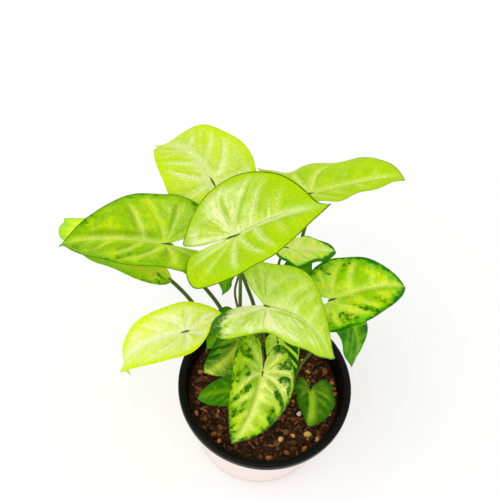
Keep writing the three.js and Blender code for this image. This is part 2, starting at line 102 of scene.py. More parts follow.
LEAF_ROWS = (
    dict(
        name="back_left", stem="north", side=150, rise=0.005,
        via=((-0.015, 0.025, 0.14), (-0.022, 0.032, 0.155)), at=(-0.05, 0.064, 0.218), turn=(1, -15, 126),
        length=0.063, half=(0.028, 0.027), lobe=(0.029, 0.033), arch=83, sway=19, fold=(16, 24),
        curl=(24, 2), full=(1, 1.05), waist=(-0.05, -0.05), ripple=0.0016, phase=5.9, hook=(0.005, 0, 0.002),
        finish="pale", knuckle=0.0055,
        look=dict(
            brightness=0.89, relief=0.07, pale_half=(0.35, 0.6), midrib_width=0.0016, net_share=0.2,
            cream=rgb(243, 250, 184), vein_fade=0.2, vein_share=1.05, margin_share=1.1, deep_share=0.85,
        ),
    ),
    dict(
        name="left", stem="west", side=130, rise=0.009, via=((-0.033, 0.015, 0.14), (-0.048, 0.015, 0.175)),
        at=(-0.07, 0.008, 0.229), turn=(14, -6, 180), length=0.066, half=(0.036, 0.038), lobe=(0.04, 0.028),
        arch=37, sway=-8, lift=(-3, 10), fold=(22, 19), curl=(1, 24), full=(1.1, 1.05), waist=(0.1, 0),
        gape=(-0.1, 0.25), ripple=0.0009, phase=1.9, hook=(-0.001, 0.001, -0.001), finish="shaded",
        knuckle=0.005,
        look=dict(
            brightness=0.95, field=rgb(192, 224, 10), deep=rgb(146, 196, 0), relief=0.22,
            # pale_half lifts the right half towards cream, painted light against the shade that its slope
            # gives it.
            dark=rgb(44, 112, 0), dark_tip=0.5, dark_lobe=(0.7, 1.2), pale_half=(0, 0.45),
            dark_half=(0.22, 0), dark_margin=0.31, cream_share=0.25, margin=rgb(122, 184, 0),
            margin_share=0.8, midrib_width=0.0008, net_share=0.08, vein_fade=0.3,
        ),
    ),
    dict(
        name="left_under", stem="west", side=185, rise=0.004,
        via=((-0.052, 0.022, 0.132), (-0.069, 0.02, 0.168)), at=(-0.08, 0.017, 0.2), turn=(28, 18, 148),
        length=0.081, half=(0.044, 0.02), lobe=(0.029, 0.009), arch=12, sway=-3, lift=(-19, -32),
        fold=(13, 17), curl=(6, 21), full=(0.95, 0.6), waist=(0.05, 0.2), ripple=0.0015, phase=3.7,
        hook=(0, -0.001, 0.001), finish="shaded", knuckle=0.003,
        look=dict(
            # Its colours are paler than its finish's, painted light against the shade of the leaf above it.
            brightness=1.36, cream_share=0.3, field=rgb(224, 242, 36), deep=rgb(196, 226, 4),
            margin=rgb(150, 202, 0), dark_lobe=(0.42, 0), dark_margin=0.15, relief=0.1, dark_edge_line=0.3,
        ),
    ),
    dict(
        name="centre", stem="west", side=60, rise=0.007, via=((-0.021, 0.01, 0.135), (-0.025, 0.008, 0.195)),
        at=(-0.029, -0.003, 0.265), turn=(-13, -30, 27), length=0.051, half=(0.04, 0.029),
        lobe=(0.034, 0.035), arch=7, sway=-27, lift=(-22, -6), fold=(6, 11), curl=(13, 6), full=(1.25, 0.6),
        waist=(-0.05, 0.05), gape=(0.18, -0.5), ripple=0.0005, phase=5, hook=(0.003, 0, 0), finish="lime",
        knuckle=0.009,
        look=dict(
            brightness=0.92, field=rgb(190, 223, 4), cream=rgb(241, 249, 172), dark_edge_line=0.8,
            thread_share=0.5, cream_share=0.06, streaks=0.6, pale_half=(1.7, 0.05), net_share=0.05,
            relief=0.08, vein_share=0.85, vein_fade=0.85,
        ),
    ),
    dict(
        name="low_left", stem="west", side=245, rise=0.004,
        via=((-0.028, 0.002, 0.104), (-0.049, -0.003, 0.148)), at=(-0.054, -0.024, 0.186),
        turn=(12, 19, 189), length=0.069, half=(0.024, 0.017), lobe=(0.029, 0.023), arch=70, sway=-18,
        lift=(55, -9), fold=(20, 37), curl=(10, -1), full=(0.9, 1.05), waist=(0, -0.05), gape=(-0.1, 0.05),
        ripple=0.0006, phase=2, hook=(-0.003, 0.004, -0.004), finish="pale", knuckle=0.004,
        look=dict(
            brightness=1.03, field=rgb(234, 244, 124), deep=rgb(224, 240, 52), cream=rgb(248, 252, 222),
            margin=rgb(212, 236, 0), margin_share=1.2, cream_share=1.0, relief=0.06, midrib_width=0.002,
            vein_share=1.0, net_share=0.2, pale_half=(0.5, 0.9),
        ),
    ),
    dict(
        name="front_right", stem="east", side=160, rise=0.006,
        via=((-0.003, 0.001, 0.13), (-0.011, -0.013, 0.192)), at=(-0.009, -0.025, 0.231), turn=(-18, 7, 3),
        length=0.056, half=(0.042, 0.038), lobe=(0.015, 0.03), arch=68, sway=-17, lift=(15, -42),
        fold=(8, 13), curl=(8, 2), full=(0.75, 0.85), waist=(0.25, 0.35), gape=(0.25, -0.1), ripple=0.0014,
        phase=2.6, hook=(0.002, 0.002, 0.003), finish="soft", knuckle=0.002,
        look=dict(
            brightness=1.13, dark=rgb(60, 116, 0), dark_tip=0.4, dark_lobe=(0, 0.78),
            cream=rgb(238, 247, 178), dark_half=(0.1, 0), dark_edge_line=0.6, thread_share=0.6,
            pale_half=(0.4, 2.6), relief=0.06,
        ),
    ),
    dict(
        name="right", stem="east", side=60, rise=0.007, via=((0.014, 0.005, 0.12), (0.021, 0.003, 0.165)),
        at=(0.031, 0.003, 0.199), turn=(-10, -23, 25), length=0.053, half=(0.029, 0.025),
        lobe=(0.012, 0.017), arch=65, sway=7, lift=(19, 4), fold=(19, 16), curl=(38, 18), full=(1.05, 1.05),
        waist=(0.05, 0), gape=(0.15, -0.1), ripple=0.0011, phase=0.5, hook=(-0.002, 0, 0), finish="bordered",
        knuckle=0.004,
        look=dict(
            brightness=1.1, field=rgb(202, 225, 2), deep=rgb(150, 202, 0), margin=rgb(96, 184, 0),
            dark=rgb(34, 112, 0), relief=0.08, cream_share=0.35, dark_margin=0.7, dark_half=(0.38, 0.46),
            dark_tip=0.6, net_share=0.06, deep_share=1.2, midrib_width=0.0009,
        ),
    ),
    dict(
        name="back_small", stem="north", side=90, rise=0.008, via=((-0.002, 0.025, 0.135),),
        at=(0.001, 0.04, 0.19), turn=(-18, 5, 6), length=0.035, half=(0.022, 0.023), lobe=(0.017, 0.012),
        arch=5, sway=11, lift=(15, 22), fold=(10, 24), curl=(60, 19), full=(0.95, 1), waist=(-0.05, -0.05),
        ripple=0.0025, phase=2, hook=(-0.004, 0, -0.001), finish="bordered", knuckle=0.002,
        look=dict(
            brightness=1.26, field=rgb(214, 236, 64), deep=rgb(178, 216, 6), cream=rgb(242, 248, 176),
            margin=rgb(110, 184, 0), dark=rgb(48, 120, 0), pale_half=(0.9, 0.9), dark_half=(0, 0),
            dark_margin=1.4, dark_tip=1.0, dark_lobe=(0.3, 0.9),
        ),
    ),
    dict(
        name="back_right", stem="north", side=40, rise=0.006,
        via=((0.006, 0.04, 0.13), (0.011, 0.061, 0.185)), at=(0.01, 0.053, 0.232), turn=(-40, -11, 20),
        length=0.058, half=(0.037, 0.023), lobe=(0.035, 0.024), arch=0, sway=-26, lift=(55, 10),
        fold=(21, -2), curl=(25, -1), full=(0.85, 0.6), waist=(-0.05, 0.3), gape=(0.25, 0), ripple=0.0014,
        phase=0.5, hook=(-0.003, -0.001, -0.003), finish="lime", knuckle=0.003,
        look=dict(
            brightness=0.96, field=rgb(190, 224, 6), cream=rgb(234, 247, 132), cream_share=0.2, streaks=0.5,
            thread_share=0.2, relief=0.1, net_share=0.08, dark_edge_line=0.4, vein_fade=0.4,
        ),
    ),
    dict(
        name="front", stem="south", side=270, rise=0.007,
        via=((-0.003, -0.023, 0.112), (-0.005, -0.032, 0.145)), at=(-0.006, -0.043, 0.183),
        turn=(-35, 17, 271), length=0.049, half=(0.026, 0.025), lobe=(0.019, 0.024), arch=57, sway=-4,
        lift=(4, -16), fold=(7, 18), curl=(25, 15), full=(0.95, 1), waist=(-0.05, 0), ripple=0.0003,
        phase=5.3, hook=(-0.001, 0.001, 0), finish="mottled", knuckle=0.002,
        look=dict(
            brightness=1.02, field=rgb(188, 221, 4), dark=rgb(34, 104, 4), cream=rgb(242, 249, 140),
            vein_share=1.2, midrib_width=0.0012, dark_half=(0.62, 0.5), dark_lobe=(0.6, 0.62),
            dark_margin=0.55, pale_half=(1.8, 0.15), relief=0.12, cream_share=0.5, net_share=0.1,
        ),
    ),
    dict(
        name="front_under", stem="south", side=190, rise=0.005,
        via=((-0.009, -0.006, 0.104), (-0.017, -0.011, 0.14)), at=(-0.02, -0.017, 0.17), turn=(-43, 23, 238),
        length=0.035, half=(0.018, 0.018), lobe=(0.008, 0.012), arch=51, sway=-2, fold=(14, 25),
        curl=(28, 12), ripple=0.0013, phase=1, hook=(-0.001, 0, 0), finish="mottled",
        look=dict(
            brightness=1.02, field=rgb(80, 146, 4), deep=rgb(44, 112, 0), margin=rgb(60, 124, 0),
            cream=rgb(210, 228, 76), streaks=0.8, cream_share=0.9, vein_share=0.3, pale_tip=0.9,
            dark_half=(0.5, 0.6),
        ),
    ),
    dict(
        name="ground_left", stem="south", side=235, rise=0.002, via=((-0.011, -0.018, 0.082),),
        at=(-0.018, -0.021, 0.106), turn=(17, 13, 186), length=0.032, half=(0.016, 0.014),
        lobe=(0.009, 0.009), arch=26, sway=-5, fold=(19, 14), curl=(14, 25), full=(1, 0.95), waist=(0.05, 0),
        ripple=0.0003, phase=3.1, hook=(-0.002, 0, 0), look=dict(brightness=1.15),
    ),
    dict(
        name="ground_right", stem="east", side=305, rise=0.002, via=((0.022, -0.006, 0.08),),
        at=(0.03, -0.009, 0.093), turn=(-27, 8, 284), length=0.026, half=(0.02, 0.016), lobe=(0.008, 0.009),
        arch=25, sway=-17, lift=(17, 11), fold=(17, 22), curl=(28, 14), full=(0.95, 1.05),
        waist=(0.05, -0.05), gape=(0.2, 0.15), ripple=0.0014, phase=4.3, hook=(-0.001, 0.001, 0.001),
        look=dict(
            brightness=0.84, field=rgb(54, 120, 12), deep=rgb(32, 92, 2), midrib_share=1.5,
            midrib_width=0.0014, vein_share=0.6, cream=rgb(176, 222, 40), dark_edge_line=0.5, vein_fade=0.6,
        ),
    ),
    dict(
        name="right_under", stem="east", side=0, rise=0.005,
        via=((0.021, 0.001, 0.108), (0.031, 0.007, 0.14)), at=(0.045, 0.01, 0.167), turn=(-25, 38, 315),
        length=0.04, half=(0.023, 0.026), lobe=(0.018, 0.018), arch=58, sway=14, fold=(3, 13), curl=(24, 5),
        full=(1.05, 0.95), waist=(0, 0.05), ripple=0.0014, phase=0.2, hook=(-0.001, 0, 0),
        look=dict(
            brightness=1.25, field=rgb(92, 154, 0), dark_half=(0.9, 0),
        ),
    ),
    dict(
        name="hidden_tip", stem="north", side=195, rise=0.004,
        via=((-0.018, 0.02, 0.115), (-0.028, 0.024, 0.155)), at=(-0.032, 0.022, 0.196), turn=(30, 39, 254),
        length=0.023, half=(0.011, 0.012), lobe=(0.008, 0.006), arch=31, sway=-7, fold=(25, 8), curl=(3, 22),
        full=(0.95, 1), ripple=0.0014, phase=3.4, hook=(0.001, -0.001, 0.001), look=dict(brightness=1.2),
    ),
    dict(
        name="under_lobe", stem="south", side=120, rise=0.006, via=((-0.013, 0.001, 0.108),),
        at=(-0.026, 0.003, 0.156), turn=(8, 22, 217), length=0.028, half=(0.012, 0.012), lobe=(0.008, 0.004),
        arch=40, sway=0, fold=(15, 15), curl=(10, 10), ripple=0.0012, phase=4.9, look=dict(brightness=1.2),
    ),
    dict(
        name="between", stem="south", side=20, rise=0.004, via=((0.003, -0.009, 0.115),),
        at=(0.002, -0.013, 0.166), turn=(5, 22, 283), length=0.034, half=(0.013, 0.008), lobe=(0.011, 0.006),
        arch=40, sway=0, fold=(20, 15), curl=(15, 15), ripple=0.0012, phase=0.6, finish="mottled",
        look=dict(
            brightness=1.15, dark_half=(1.5, 0), dark_lobe=(1.5, 0), dark_margin=0.0, pale_half=(0, 1.0),
        ),
    ),
    dict(
        name="back_under", stem="north", side=350, rise=0.003,
        via=((0.011, 0.017, 0.105), (0.014, 0.028, 0.15)), at=(0.01, 0.036, 0.18), turn=(-10, 35, 290),
        length=0.028, half=(0.008, 0.012), lobe=(0.005, 0.005), arch=40, sway=0, fold=(15, 15),
        curl=(15, 15), ripple=0.0012, phase=2.6, look=dict(brightness=1.2),
    ),
)
LEAVES = [{**PLAIN_LEAF, **row} for row in LEAF_ROWS]

# Each shoot: where its foot stands, how far its top leans, and how high it reaches above the soil.
SHOOTS = {
    "west": dict(foot=(-0.013, 0.003), lean=(-0.002, 0), height=0.020),
    "north": dict(foot=(0.001, 0.013), lean=(0, 0.002), height=0.018),
    "south": dict(foot=(-0.004, -0.011), lean=(0, -0.003), height=0.017),
    "east": dict(foot=(0.012, -0.001), lean=(0.003, 0), height=0.016),
}
SHOOT_RADIUS = 0.003
SHOOT_TIP_RADIUS = 0.0022
SHOOT_BURIED = 0.009

# Where along a shoot its leaf joints swell, from foot (0) to top (1), how far along and how high they swell,
# and over how much of the shoot its top rounds off.
SHOOT_JOINTS = (0.45, 0.63, 0.8)
JOINT_WIDTH = 0.025
JOINT_HEIGHT = 0.0003
TOP_ROUNDING = 0.07

# The leafstalk: its radius under the blade, what each metre of blade adds, how much wider its foot is, and
# how much of its radius the clasping sheath and the swelling under the blade add, each over its share of the
# length. Its foot keeps a gap from the shoot, it rises beside the shoot first, and it comes to the blade past
# a point below and behind.
STALK_RADIUS = 0.0005
STALK_RADIUS_PER_LENGTH = 0.0088
STALK_FOOT = 1.4
SHEATH = 0.55
SHEATH_LENGTH = 0.07
SWELLING = 0.22
SWELLING_LENGTH = 0.035
STALK_GAP = 0.0005
STALK_RISE = 0.009
STALK_APPROACH = (-0.003, 0, -0.009)

# The leafstalk's swollen end above the blade: its radius, and how far along the midrib it reaches.
KNUCKLE_RADIUS = 0.0007
KNUCKLE_AHEAD = 0.035

# The midrib's keel: where along the midrib it starts and ends, its steps, and its radius at either end as a
# share of the leafstalk's.
KEEL_START = 0.02
KEEL_END = 0.85
KEEL_STEPS = 26
KEEL_RADII = (0.85, 0.2)

# Ridges round a shoot.
RIDGES = 7

# Where along the leafstalk's tones, from foot (0) to blade (1), a swept path starts and ends.
WHOLE_TONE = (0.0, 1.0)
KEEL_TONE = (0.5, 0.1)
KNUCKLE_TONE = (0.9, 0.8)

# The pot, the soil and the grains on it.
WALL = 0.0016
FLOOR = 0.0024
BASE_RADIUS = 0.0445
LIP_WIDTH = 0.005
LIP_HEIGHT = 0.007
LIP_BULGE = 0.55
DRAIN_HOLES = 6
DRAIN_RADIUS = 0.0035
DRAIN_CIRCLE = 0.027
RIM_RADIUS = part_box("pot")[1].x
POT_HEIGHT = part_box("pot")[1].z
SOIL_TOP = 0.061
SOIL_MOUND = 0.0022
SOIL_CRUMB = 0.0009
SOIL_GAP = 0.0003
BED_TONE = 0.35
SCATTER_INSET = 0.0018
SCATTER_RINGS = 24
SCATTER_SIDES = 72

# The larger mineral grains that lie in the open: x, y, radius and tone (0 brown to 1 pale).
GRAINS = (
    (-0.046, -0.023, 0.0018, 0.55), (-0.038, -0.032, 0.0015, 0.3), (-0.031, -0.036, 0.0018, 0.35),
    (-0.003, -0.042, 0.0012, 0.3), (0.008, -0.048, 0.0019, 0.45), (0.015, -0.034, 0.0019, 0.9),
    (0.023, -0.030, 0.0015, 0.7), (0.033, -0.028, 0.0022, 0.8), (0.032, -0.039, 0.0018, 0.45),
    (0.020, -0.043, 0.0018, 0.35), (0.041, -0.031, 0.0015, 0.75), (0.026, -0.014, 0.0018, 1.0),
    (0.015, -0.020, 0.0011, 0.3), (0.030, 0.019, 0.0015, 0.6), (0.042, 0.021, 0.0022, 0.35),
    (0.051, 0.014, 0.0018, 0.5), (0.050, 0.009, 0.0014, 0.4), (0.051, 0.005, 0.0014, 0.45),
    (0.021, -0.005, 0.0014, 0.4), (-0.006, -0.037, 0.0011, 0.3), (0.033, -0.032, 0.0014, 0.6),
)

# A grain's middle stands this many of its radii above the soil, and keeps this many from the pot's wall. The
# grains drawn at random keep this far from the wall and from other grains.
GRAIN_RISE = 0.35
GRAIN_CLEARANCE = 1.8
GRAIN_INSET = 0.004
GRAIN_SPACING = 0.006

# How the veins run, in outline units: each side vein leaves the midrib with this lean and bends forward.
VEIN_SPACING = 0.21
VEIN_DRIFT = 0.14
VEIN_DRIFT_RATE = 2.2
VEIN_LEAN = 0.1
VEIN_CURVE = 0.3
LOBE_VEIN_ANGLE = 0.5

# Waves along a blade, where its drip tip starts to hook, and the width of the groove over its midrib.
RIPPLES = 2
HOOK_START = 0.8
GROOVE_WIDTH = 0.0012

# Added to what a formula divides by, so that it's never nothing.
TINY = 0.001

# How much of its thickness a blade has lost at its margin, the material slot that its rim has meanwhile, and
# how fine it is: spokes for each step of its length, the fewest spokes, and rings for each spoke.
EDGE_THINNING = 0.55
RIM_SLOT = 1
SPOKES_PER_STEP = 1.1
FEWEST_SPOKES = 40
RINGS_PER_SPOKE = 0.36

# No leaf gives back more light than this, however pale its markings.
BRIGHTEST = (0.96, 0.96, 0.96)

# What the leaves look like: colours, and how far each marking goes (0 none to 1 full).
FINISHES = {
    "pale": dict(
        field=rgb(222, 242, 62), deep=rgb(198, 232, 4), cream=rgb(242, 250, 186), margin=rgb(204, 238, 6),
        dark=rgb(70, 130, 0), cream_share=0.8, vein_share=0.85, midrib_share=0.9, deep_share=0.7,
        streaks=0.35, margin_share=0.9, net_share=0.3,
    ),
    "lime": dict(
        field=rgb(198, 229, 36), deep=rgb(170, 212, 0), cream=rgb(238, 248, 178), margin=rgb(176, 216, 4),
        dark=rgb(48, 88, 0), cream_share=0.75, vein_share=0.9, midrib_share=0.95, deep_share=0.95,
        streaks=0.75, margin_share=0.7, net_share=0.35,
    ),
    "soft": dict(
        field=rgb(196, 225, 60), deep=rgb(170, 208, 14), cream=rgb(230, 243, 156), margin=rgb(170, 210, 16),
        dark=rgb(72, 122, 0), cream_share=0.75, vein_share=0.45, midrib_share=0.6, deep_share=0.85,
        streaks=0.45, margin_share=0.8, net_share=0.3,
    ),
    "shaded": dict(
        field=rgb(176, 216, 14), deep=rgb(132, 184, 0), cream=rgb(226, 241, 112), margin=rgb(98, 160, 0),
        dark=rgb(30, 92, 0), cream_share=0.5, vein_share=0.85, midrib_share=0.9, deep_share=1.0, streaks=0.4,
        margin_share=0.95, dark_edge_line=0.7, net_share=0.2,
    ),
    "bordered": dict(
        field=rgb(182, 219, 18), deep=rgb(138, 198, 0), cream=rgb(228, 241, 112), margin=rgb(80, 172, 0),
        dark=rgb(20, 100, 0), cream_share=0.6, vein_share=0.8, midrib_share=0.95, deep_share=0.95,
        streaks=0.3, margin_share=1.0, dark_margin=0.85, dark_half=(0.45, 0.5), net_share=0.2,
        dark_edge_line=0.6,
    ),
    "mottled": dict(
        field=rgb(186, 220, 30), deep=rgb(140, 190, 0), cream=rgb(238, 247, 124), margin=rgb(160, 206, 14),
        dark=rgb(26, 92, 0), cream_share=0.75, vein_share=1.0, midrib_share=1.0, midrib_width=0.0016,
        deep_share=0.95, streaks=0.3, margin_share=0.6, dark_margin=0.5, net_share=0.3, dark_edge_line=0.7,
    ),
    "green": dict(
        field=rgb(72, 140, 0), deep=rgb(34, 106, 0), cream=rgb(160, 214, 20), margin=rgb(54, 122, 0),
        dark=rgb(14, 78, 0), cream_share=0.12, vein_share=0.35, midrib_share=0.55, deep_share=0.9,
        margin_share=0.6, net_share=0.15,
    ),
}

# The finishes that have a slot of their own in place of the usual "leaf".
GREEN_SLOTS = {"mottled": "leaf_mottled", "green": "leaf_green"}

# The stage: half the floor's width, the lamp, and the camera's place and its directions to the right and up.
FLOOR_HALF = 3.0
LAMP_SIZE = 1.4
LAMP_PLACE = (-0.5, -0.5, 1.4)
LAMP_AIM = (0, 0, 0.12)
CAMERA_PLACE = (-0.02177, -0.28854, 0.71076)
CAMERA_RIGHT = (0.992394, 0.104535, 0.065013)
CAMERA_UP = (-0.123102, 0.842710, 0.524104)

# ---- Values on node sockets ----------------------------------------------------------------------


class Field:
    """What a node gives at a socket. Python's own arithmetic works on it by Math nodes."""

    def __init__(self, tree, socket):
        self.tree = tree
        self.socket = socket

    def __add__(self, other):
        return calculate("ADD", self, other)

    def __sub__(self, other):
        return calculate("SUBTRACT", self, other)

    def __rsub__(self, other):
        return calculate("SUBTRACT", other, self)

    def __mul__(self, other):
        return calculate("MULTIPLY", self, other)

    def __truediv__(self, other):
        return calculate("DIVIDE", self, other)

    __radd__ = __add__
    __rmul__ = __mul__


def feed(tree, value, socket):
    """Gives a socket its value: a link from a Field, or a plain number, vector or material."""
    if isinstance(value, Field):
        tree.links.new(value.socket, socket)
    else:
        wants_alpha = socket.type == "RGBA" and len(value) == 3
        socket.default_value = (*value, 1) if wants_alpha else value


def add_node(tree, kind, values=(), output=0, **settings):
    """What a new node gives at one output. Its settings come first, then its sockets by index or by name."""
    node = tree.nodes.new(kind)
    for name, setting in settings.items():
        setattr(node, name, setting)
    for key, value in dict(values).items():
        feed(tree, value, node.inputs[key])
    return Field(tree, node.outputs[output])


def all_outputs(field):
    """Every output of the node that a Field comes from."""
    return [Field(field.tree, socket) for socket in field.socket.node.outputs]


def calculate(operation, *values):
    """One Math node on Fields and numbers."""
    tree = next(value.tree for value in values if isinstance(value, Field))
    return add_node(tree, "ShaderNodeMath", enumerate(values), operation=operation)


def either(operation, plain):
    """A function that works on a Field by a node and on a plain number by Python."""

    def work(*values):
        if any(isinstance(value, Field) for value in values):
            return calculate(operation, *values)
        return plain(*values)

    return work


sine = either("SINE", math.sin)
cosine = either("COSINE", math.cos)
larger = either("MAXIMUM", max)
smaller = either("MINIMUM", min)
exceeds = either("GREATER_THAN", lambda a, b: float(a > b))


def pick(condition, chosen, other):
    """chosen where the condition is 1, other where it is 0."""
    return other + (chosen - other) * condition


def pick_side(leaf, part, left):
    """The value that a leaf has for this part on the left (1) or on the right (0)."""
    return pick(left, leaf[part + " left"], leaf[part + " right"])


def ease(value, start, end):
    """0 up to start, 1 from end on, and a smooth step between them."""
    sockets = {"Value": value, "From Min": start, "From Max": end}
    return add_node(value.tree, "ShaderNodeMapRange", sockets, interpolation_type="SMOOTHSTEP")


def bump_of(distance, width):
    """1 at no distance, fading like a bell over the width."""
    share = distance / width
    return calculate("EXPONENT", share * share * -1)


def split(vector):
    """The three numbers of a vector Field."""
    return all_outputs(add_node(vector.tree, "ShaderNodeSeparateXYZ", {0: vector}))


def gather(x, y, z=0.0):
    """A vector Field from three numbers, of which the first is a Field."""
    return add_node(x.tree, "ShaderNodeCombineXYZ", {0: x, 1: y, 2: z})


def scaled(vector, share):
    """A vector or a colour times a number Field."""
    return add_node(share.tree, "ShaderNodeVectorMath", {0: vector, 3: share}, operation="SCALE")


def noise_at(vector, scale, detail=2.0, roughness=0.5):
    """Smooth noise from 0 to 1 round a half, read at a vector Field."""
    sockets = {"Vector": vector, "Scale": scale, "Detail": detail, "Roughness": roughness}
    return add_node(vector.tree, "ShaderNodeTexNoise", sockets)


def net_at(place, scale, width):
    """1 on the threads of an irregular net and 0 beyond their width, which is a share of a mesh."""
    sockets = {"Vector": place, "Scale": scale}
    distance = add_node(place.tree, "ShaderNodeTexVoronoi", sockets, "Distance", feature="DISTANCE_TO_EDGE")
    return 1 - ease(distance, 0.0, width)


def blend(share, start, end):
    """The colour that is start at share 0 and end at share 1."""
    start_socket, end_socket, colour_output = 6, 7, 2
    sockets = {0: share, start_socket: start, end_socket: end}
    return add_node(share.tree, "ShaderNodeMix", sockets, colour_output, data_type="RGBA")


def stored(tree, name):
    """A number that the mesh stores at each point, read in a material or in a Geometry Nodes tree."""
    if tree.bl_idname == "GeometryNodeTree":
        return add_node(tree, "GeometryNodeInputNamedAttribute", {"Name": name})
    return add_node(tree, "ShaderNodeAttribute", output="Fac", attribute_name=name)


def object_place(tree):
    """The place on the object, in metres."""
    return add_node(tree, "ShaderNodeTexCoord", output="Object")


def new_group(name, kind, inputs, outputs):
    """A node group, and its inputs as Fields. Inputs are (name, type, default), and outputs (name, type)."""
    tree = bpy.data.node_groups.new(name, kind)
    for title, socket, default in inputs:
        item = tree.interface.new_socket(name=title, in_out="INPUT", socket_type="NodeSocket" + socket)
        if default is not None:
            item.default_value = default
    for title, socket in outputs:
        tree.interface.new_socket(name=title, in_out="OUTPUT", socket_type="NodeSocket" + socket)
    given = all_outputs(add_node(tree, "NodeGroupInput"))
    return tree, {field.socket.name: field for field in given}


def finish_group(tree, **results):
    """Feeds the group's outputs by name."""
    sink = tree.nodes.new("NodeGroupOutput")
    for name, value in results.items():
        feed(tree, value, sink.inputs[name])


def shape_group(name, inputs):
    """A Geometry Nodes group that takes a mesh, further inputs and a material, and gives a mesh."""
    inputs = [("Geometry", "Geometry", None), *inputs, ("Material", "Material", None)]
    return new_group(name, "GeometryNodeTree", inputs, [("Geometry", "Geometry")])


def finish_shape(geometry, material):
    """The last nodes of a Geometry Nodes group: instances made real, and the material set."""
    tree = geometry.tree
    real = add_node(tree, "GeometryNodeRealizeInstances", {"Geometry": geometry})
    done = add_node(tree, "GeometryNodeSetMaterial", {"Geometry": real, "Material": material})
    finish_group(tree, Geometry=done)
    return tree


def moved(geometry, **change):
    """The geometry with its points at a new Position, or moved by an Offset."""
    return add_node(geometry.tree, "GeometryNodeSetPosition", {"Geometry": geometry, **change})


def swollen(geometry, height):
    """The geometry with its surface moved outwards by a height."""
    normal = add_node(geometry.tree, "GeometryNodeInputNormal")
    return moved(geometry, Offset=scaled(normal, height))


def labelled(geometry, name, value, domain="POINT"):
    """The geometry with a number stored under a name."""
    sockets = {"Geometry": geometry, "Name": name, "Value": value}
    kind = "GeometryNodeStoreNamedAttribute"
    return add_node(geometry.tree, kind, sockets, data_type="FLOAT", domain=domain)


# ---- Meshes and pieces ---------------------------------------------------------------------------


def add_object(name, data):
    """A new object at the origin."""
    piece = bpy.data.objects.new(name, data)
    bpy.context.scene.collection.objects.link(piece)
    return piece


def new_piece(name, vertices, faces=(), edges=()):
    """A new mesh object at the origin."""
    mesh = bpy.data.meshes.new(name)
    mesh.from_pydata(vertices, edges, faces)
    return add_object(name, mesh)


def store(piece, **values):
    """Stores a number at each point of the piece's mesh, under each of the given names."""
    for name, numbers in values.items():
        piece.data.attributes.new(name, "FLOAT", "POINT").data.foreach_set("value", numbers)


def add_tree(piece, tree, values):
    """Gives the piece a Geometry Nodes modifier with these inputs, set by their sockets' identifiers."""
    modifier = piece.modifiers.new(tree.name, "NODES")
    modifier.node_group = tree
    for item in tree.interface.items_tree:
        if item.item_type == "SOCKET" and item.in_out == "INPUT" and item.name in values:
            modifier[item.identifier] = values[item.name]


def make_plain(piece):
    """Replaces the piece's mesh by what its modifiers make of it, and removes them."""
    graph = bpy.context.evaluated_depsgraph_get()
    evaluated = piece.evaluated_get(graph)
    mesh = bpy.data.meshes.new_from_object(evaluated, preserve_all_data_layers=True, depsgraph=graph)
    piece.modifiers.clear()
    piece.data = mesh
    mesh.name = piece.name
    if not mesh.polygons:
        raise RuntimeError(f"{piece.name} came out empty")


def set_materials(piece, *materials):
    """Gives the piece's mesh these materials in place of any that it has. Every face then has the first."""
    piece.data.materials.clear()
    for material in materials:
        piece.data.materials.append(material)


def smooth_but_sharp(piece, degrees):
    """Shades the piece smooth, but leaves the edges sharp that turn by more than this angle."""
    piece.data.shade_smooth()
    piece.data.set_sharp_from_angle(angle=math.radians(degrees))


def hand_over(piece, slot, *nodes):
    """Makes the piece ride on the plant's body and hides the CAD nodes that it stands for. The slot is not
    used.
    """
    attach(piece, BODY)
    if nodes:
        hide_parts(*nodes)


def new_material(name, **constants):
    """A material with a Principled shader that has these constant values, and its tree."""
    material = bpy.data.materials.new(name)
    material.use_nodes = True
    tree = material.node_tree
    for socket, value in constants.items():
        tree.nodes["Principled BSDF"].inputs[socket.replace("_", " ")].default_value = value
    return material, tree


def dress(material, colour, roughness, height, strength=1.0, distance=0.001):
    """Feeds the shader its colour, its roughness and the relief that its bump shows. Returns the material."""
    tree = material.node_tree
    relief = add_node(tree, "ShaderNodeBump", {"Height": height, "Strength": strength, "Distance": distance})
    shader = tree.nodes["Principled BSDF"]
    for socket, value in (("Base Color", colour), ("Roughness", roughness), ("Normal", relief)):
        feed(tree, value, shader.inputs[socket])
    return material


def hermite(start, end, leave, arrive, t):
    """The point at t, from 0 to 1, of a cubic curve with these ends and these speeds at its ends."""
    rise = end - start
    return start + leave * t + (3 * rise - 2 * leave - arrive) * t**2 + (leave + arrive - 2 * rise) * t**3


def smooth_path(points, steps):
    """Points along a centripetal Catmull-Rom curve through the given ones, steps for each stretch."""
    points = [Vector(point) for point in points]
    knots = [2 * points[0] - points[1], *points, 2 * points[-1] - points[-2]]
    path = []
    for p0, p1, p2, p3 in zip(knots, knots[1:], knots[2:], knots[3:]):
        d0, d1, d2 = (math.sqrt((b - a).length) for a, b in ((p0, p1), (p1, p2), (p2, p3)))
        leave = ((p1 - p0) / d0 - (p2 - p0) / (d0 + d1) + (p2 - p1) / d1) * d1
        arrive = ((p2 - p1) / d1 - (p3 - p1) / (d1 + d2) + (p3 - p2) / d2) * d1
        path += [hermite(p1, p2, leave, arrive, step / steps) for step in range(steps)]
    return path + [points[-1]]


def path_shares(path):
    """How far along its whole length each point of the path lies, from 0 to 1."""
    travelled = [0.0]
    for a, b in zip(path, path[1:]):
        travelled.append(travelled[-1] + (b - a).length)
    return [distance / travelled[-1] for distance in travelled]


def bell(distance, width):
    """1 at no distance, fading like a bell over the width."""
    return math.exp(-((distance / width) ** 2))


def around(count):
    """The directions (x, y) at even steps round a circle."""
    angles = (2 * math.pi * k / count for k in range(count))
    return [(math.cos(angle), math.sin(angle)) for angle in angles]


# ---- The bent blade ------------------------------------------------------------------------------

